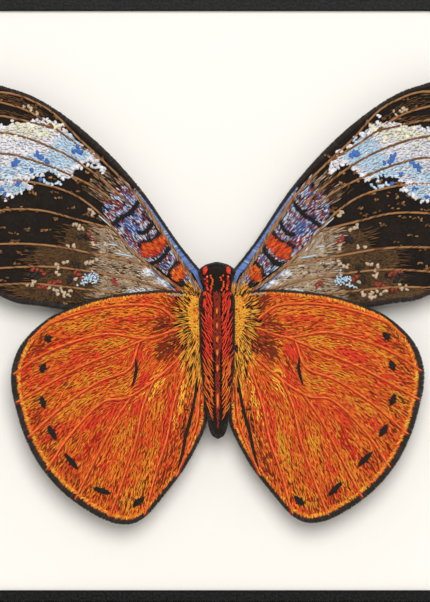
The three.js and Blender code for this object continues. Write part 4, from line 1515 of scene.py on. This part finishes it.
# Bright beads down the middle: height and length
BODY_BEADS = [(-3.3, 1.7), (-8.1, 1.7), (-12.6, 1.8), (-16.9, 2.0), (-22, 2.0), (-32.6, 4.6)]
BEAD_THREADS = {"amber": (-0.2, 0.0), "orange": (0.2, 0.3), "coral": (0.0, -0.3)}


def body_to_world(places, is_way):
    return specimen_to_world(np.asarray(places, float) + [0, 0, 0 if is_way else STANDOFF], is_way)


BODY_LINE = smooth_line(BODY_PROFILE, 0.4)


def body_half(up):
    return np.interp(up, BODY_LINE[:, 1], BODY_LINE[:, 0])


def dome(places):
    across, up = places.T
    half = np.maximum(body_half(up), 0.05)
    round_part = np.sqrt(np.clip(1 - (across / half) ** 2, 0, 1))
    return BODY_CENTRE + BODY_FLATNESS * half * round_part ** BODY_ROUNDNESS


def on_dome(middles, ways, length, width, colours, lift):
    """Stitches laid on the dome, with the dome's slope, and its normals for them."""
    step = 0.15
    middles = np.asarray(middles, float)

    def slope(way):
        return (dome(middles + way) - dome(middles - way)) / (2 * step)

    rows = stitches(middles, ways, length, width, dome(middles) + lift, colours)
    rows[:, 5] = np.clip(slope(ways * step), -STEEPEST, STEEPEST)
    slopes = np.column_stack([slope(np.array([step, 0])), slope(np.array([0, step]))])
    normals = np.column_stack([-np.clip(slopes, -STEEPEST, STEEPEST), np.ones(len(middles))])
    return rows, normals / np.linalg.norm(normals, axis=1, keepdims=True)


def body_shape():
    ups = [BODY_TIPS[0], *np.linspace(*BODY_ENDS, BODY_RINGS), BODY_TIPS[1]]
    angles = np.linspace(0, 2 * math.pi, BODY_SIDES, endpoint=False)
    c, s = np.cos(angles), np.sin(angles)
    rings = []
    for up in ups:
        half = max(body_half(up), 0.25)
        top = BODY_CENTRE + BODY_FLATNESS * half * np.abs(s) ** BODY_ROUNDNESS
        under = BODY_CENTRE - min(half, BODY_CENTRE - BODY_UNDERSIDE) * np.abs(s) ** 0.5
        rings.append(np.column_stack([half * c, np.full(BODY_SIDES, up), np.where(s >= 0, top, under)]))
    return np.vstack(rings), tube_faces(len(rings), BODY_SIDES)


def keel_shape(first):
    """A felt strip down the middle, between the wings, that joins the body to its pad."""
    low, high = KEEL_ENDS
    rings = []
    for height, inset in ((0.0, KEEL_EDGE), (KEEL_EDGE, 0.0), (BODY_UNDERSIDE + 0.5, 0.0)):
        x = KEEL_HALF - inset
        y0, y1 = low + inset, high - inset
        rings += [(-x, y0, height), (x, y0, height), (x, y1, height), (-x, y1, height)]
    return np.array(rings), tube_faces(3, 4, first)


def chevron(rng, side, heights, outer, inner, drop, threads, width, lift):
    """Slanting stitches down one side of the body, from its flank in towards its middle line."""
    ups = np.arange(*heights)
    count = len(ups)
    ups = ups + rng.normal(0, 0.12, count)
    start = np.column_stack([side * (outer + rng.normal(0, 0.25, count)), ups])
    end_across = side * (inner + rng.normal(0, 0.15, count))
    end_up = ups - drop + rng.normal(0, 0.3, count)
    end = np.column_stack([end_across, end_up])
    length = np.linalg.norm(end - start, axis=1)
    ways = (end - start) / length[:, None]
    colours = mixed(threads, count, rng)
    return (start + end) / 2, ways, length + 0.3, width, colours, lift


def knot_column(rng, side, across, ups, threads, length, width, wander, lift):
    """Stitches one below another down one side of the body."""
    count = len(ups)
    places = np.column_stack([side * (across + rng.normal(0, 0.3, count)), ups])
    ways = turned(np.tile(DOWN, (count, 1)), rng.normal(0, wander, count))
    colours = mixed(threads, count, rng)
    return places, ways, np.full(count, length), width, colours, lift


def on_body(rows, width, lift):
    """Rows sown on the flat, as a group to be laid on the dome."""
    return rows[:, 0:2], rows[:, 3:5], rows[:, 6], width, rows[:, 8:11], lift


def body_stitch_groups(rng):
    """Groups of [middles, ways, lengths, width, colours, lift]."""
    for side in (-1, 1):
        for row in CHEVRONS:
            yield chevron(rng, side, *row)
        for up, length in SHOULDER_KNOTS:
            ups = np.full(3, up) + rng.normal(0, 0.15, 3)
            yield knot_column(rng, side, 4.1, ups, RED, length, width=0.62, wander=0.12, lift=0.3)
        for across, heights, *rest in HEAD_KNOTS:
            yield knot_column(rng, side, across, np.arange(*heights), *rest)
        tip = 90 + side * 18
        eye = oval(side * 3.75, 9.8, 1.1, 0.6, tip)
        yield on_body(sown(eye, rng, None, {"scarlet": 3, "red": 1}, spacing=0.24, length=(0.7, 1.1),
                           wander=4, turn=tip), STOUT, 0.25)
    yield on_body(sown(BODY_STRIPE, rng, None, {"brick": 3.4, "rust": 1.2, "soot": 0.25}, spacing=0.4,
                       length=(0.6, 1.1), width=0.38, wander=30, turn=90, clusters=0.8), 0.4, 0.15)
    for up, length in BODY_BEADS:
        places = np.array(list(BEAD_THREADS.values())) + [0, up]
        colours = np.array([THREADS[name] for name in BEAD_THREADS])
        yield places, np.tile(DOWN, (3, 1)), np.full(3, length), 0.4, colours, 0.45


def body_rim(rng):
    """Black satin stitches round the edge of the body."""
    right = evenly(BODY_LINE, SATIN_PITCH)
    for side in (-1, 1):
        line = right * [side, 1]
        ways = left_of(headings(line))
        middles = line + ways * side * 0.75
        colours = mixed({"black": 3, "charcoal": 1}, len(line), rng)
        yield middles, ways, np.full(len(line), 1.5), STOUT, colours, 0.0


def add_body():
    rng = np.random.default_rng(31)
    points, faces = body_shape()
    keel, keel_faces = keel_shape(len(points))
    points = body_to_world(np.vstack([points, keel]), False)
    core = mesh_piece("body_felt", points, faces + keel_faces, FELT_FINISH)
    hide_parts("body")
    finish(core, "black_felt")
    groups = [*body_stitch_groups(rng), *body_rim(rng)]
    rows, normals = (np.vstack(part) for part in zip(*[on_dome(*group) for group in groups]))
    threads = lay_threads("body_embroidery", rows, body_to_world, ORANGE_THREAD, rng, normals, length=6,
                          arch=0.5, steps=5, sides=4)
    finish(threads, "hindwing_embroidery")


# Foam pads

PAD_RADIUS = 9
PADS = {"forewing": (42, 26), "hindwing": (34, -34)}
BODY_PAD = (5, 40, -15)
PAD_SIDE = [(0.35, 0.0), (0.0, 0.06), (0.25, 0.3), (0.4, 0.5), (0.25, 0.7), (0.0, 0.94), (0.35, 1.0)]


def pad_shape(outline, height):
    """A cut foam pad with a slightly hollow side between its two faces."""
    middle = outline.mean(0)
    away = outline - middle
    reach = np.linalg.norm(away, axis=1, keepdims=True)
    rings = []
    for inset, level in PAD_SIDE:
        places = middle + away * (1 - inset / reach)
        rings.append(np.column_stack([places, np.full(len(outline), GLUE_GAP + level * height)]))
    return np.vstack(rings), tube_faces(len(rings), len(outline))


def add_pad(name, outline, height):
    points, faces = pad_shape(outline, height)
    pad = mesh_piece(name + "_foam", specimen_to_world(points, False), faces, FOAM_FINISH)
    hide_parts(name)
    finish(pad, "white_foam")


def add_pads():
    for side_name, side in SIDES.items():
        for wing, (out, up) in PADS.items():
            rise = (out - PAD_RADIUS) * math.sin(WING_LIFT)
            angles = np.linspace(0, 2 * math.pi, 48, endpoint=False)
            round_line = np.column_stack([np.cos(angles), np.sin(angles)]) * PAD_RADIUS + [side * out, up]
            add_pad(f"foam_pad_{wing}_{side_name}", round_line, BACKS[wing] + rise - 2 * GLUE_GAP)
    width, length, centre = BODY_PAD
    corners = [(-width, -length), (width, -length), (width, length), (-width, length)]
    rectangle = evenly(np.array(corners + corners[:1]) / 2, 1.0)[:-1] + [0, centre]
    add_pad("foam_pad_body", rectangle, STANDOFF - 2 * GLUE_GAP)


# Frame parts keep their own shape and take a finish

def dress_frame():
    coat = powder_coat()
    zinc = plated_steel("zinc plate", dark=(0.42, 0.43, 0.43), light=(0.62, 0.62, 0.6), roughness=0.28,
                        streak=(900, 300, 300))
    spring = plated_steel("rolled spring steel", dark=(0.4, 0.41, 0.43), light=(0.55, 0.56, 0.57),
                          roughness=0.3, streak=(120, 120, 2400))
    finishes = {
        "frame_rail": coat, "corner_bracket": zinc, "bracket_screw": zinc, "hanger_strip": zinc,
        "spring_clip": spring, "mount_card": card_material(), "backing_board": board_material(),
    }
    for name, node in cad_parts.items():
        for start, finish_of_part in finishes.items():
            if name.startswith(start):
                for slot in node.material_slots:
                    slot.material = finish_of_part


NAP = nap_group()
PLY = ply_group()
SPECKLE = speckle_group()
THREAD_TREE = thread_tree()
FELT_FINISH = felt_material()
GROUND_FINISH = ground_material()
FOAM_FINISH = foam_material()
DARK_THREAD = thread_material("forewing thread", 1.05)
ORANGE_THREAD = thread_material("hindwing thread", 1.05)

add_camera()
add_light()
add_floor()
dress_frame()
for side_name, side in SIDES.items():
    add_forewing(side_name, side)
    add_hindwing(side_name, side)
add_body()
add_pads()
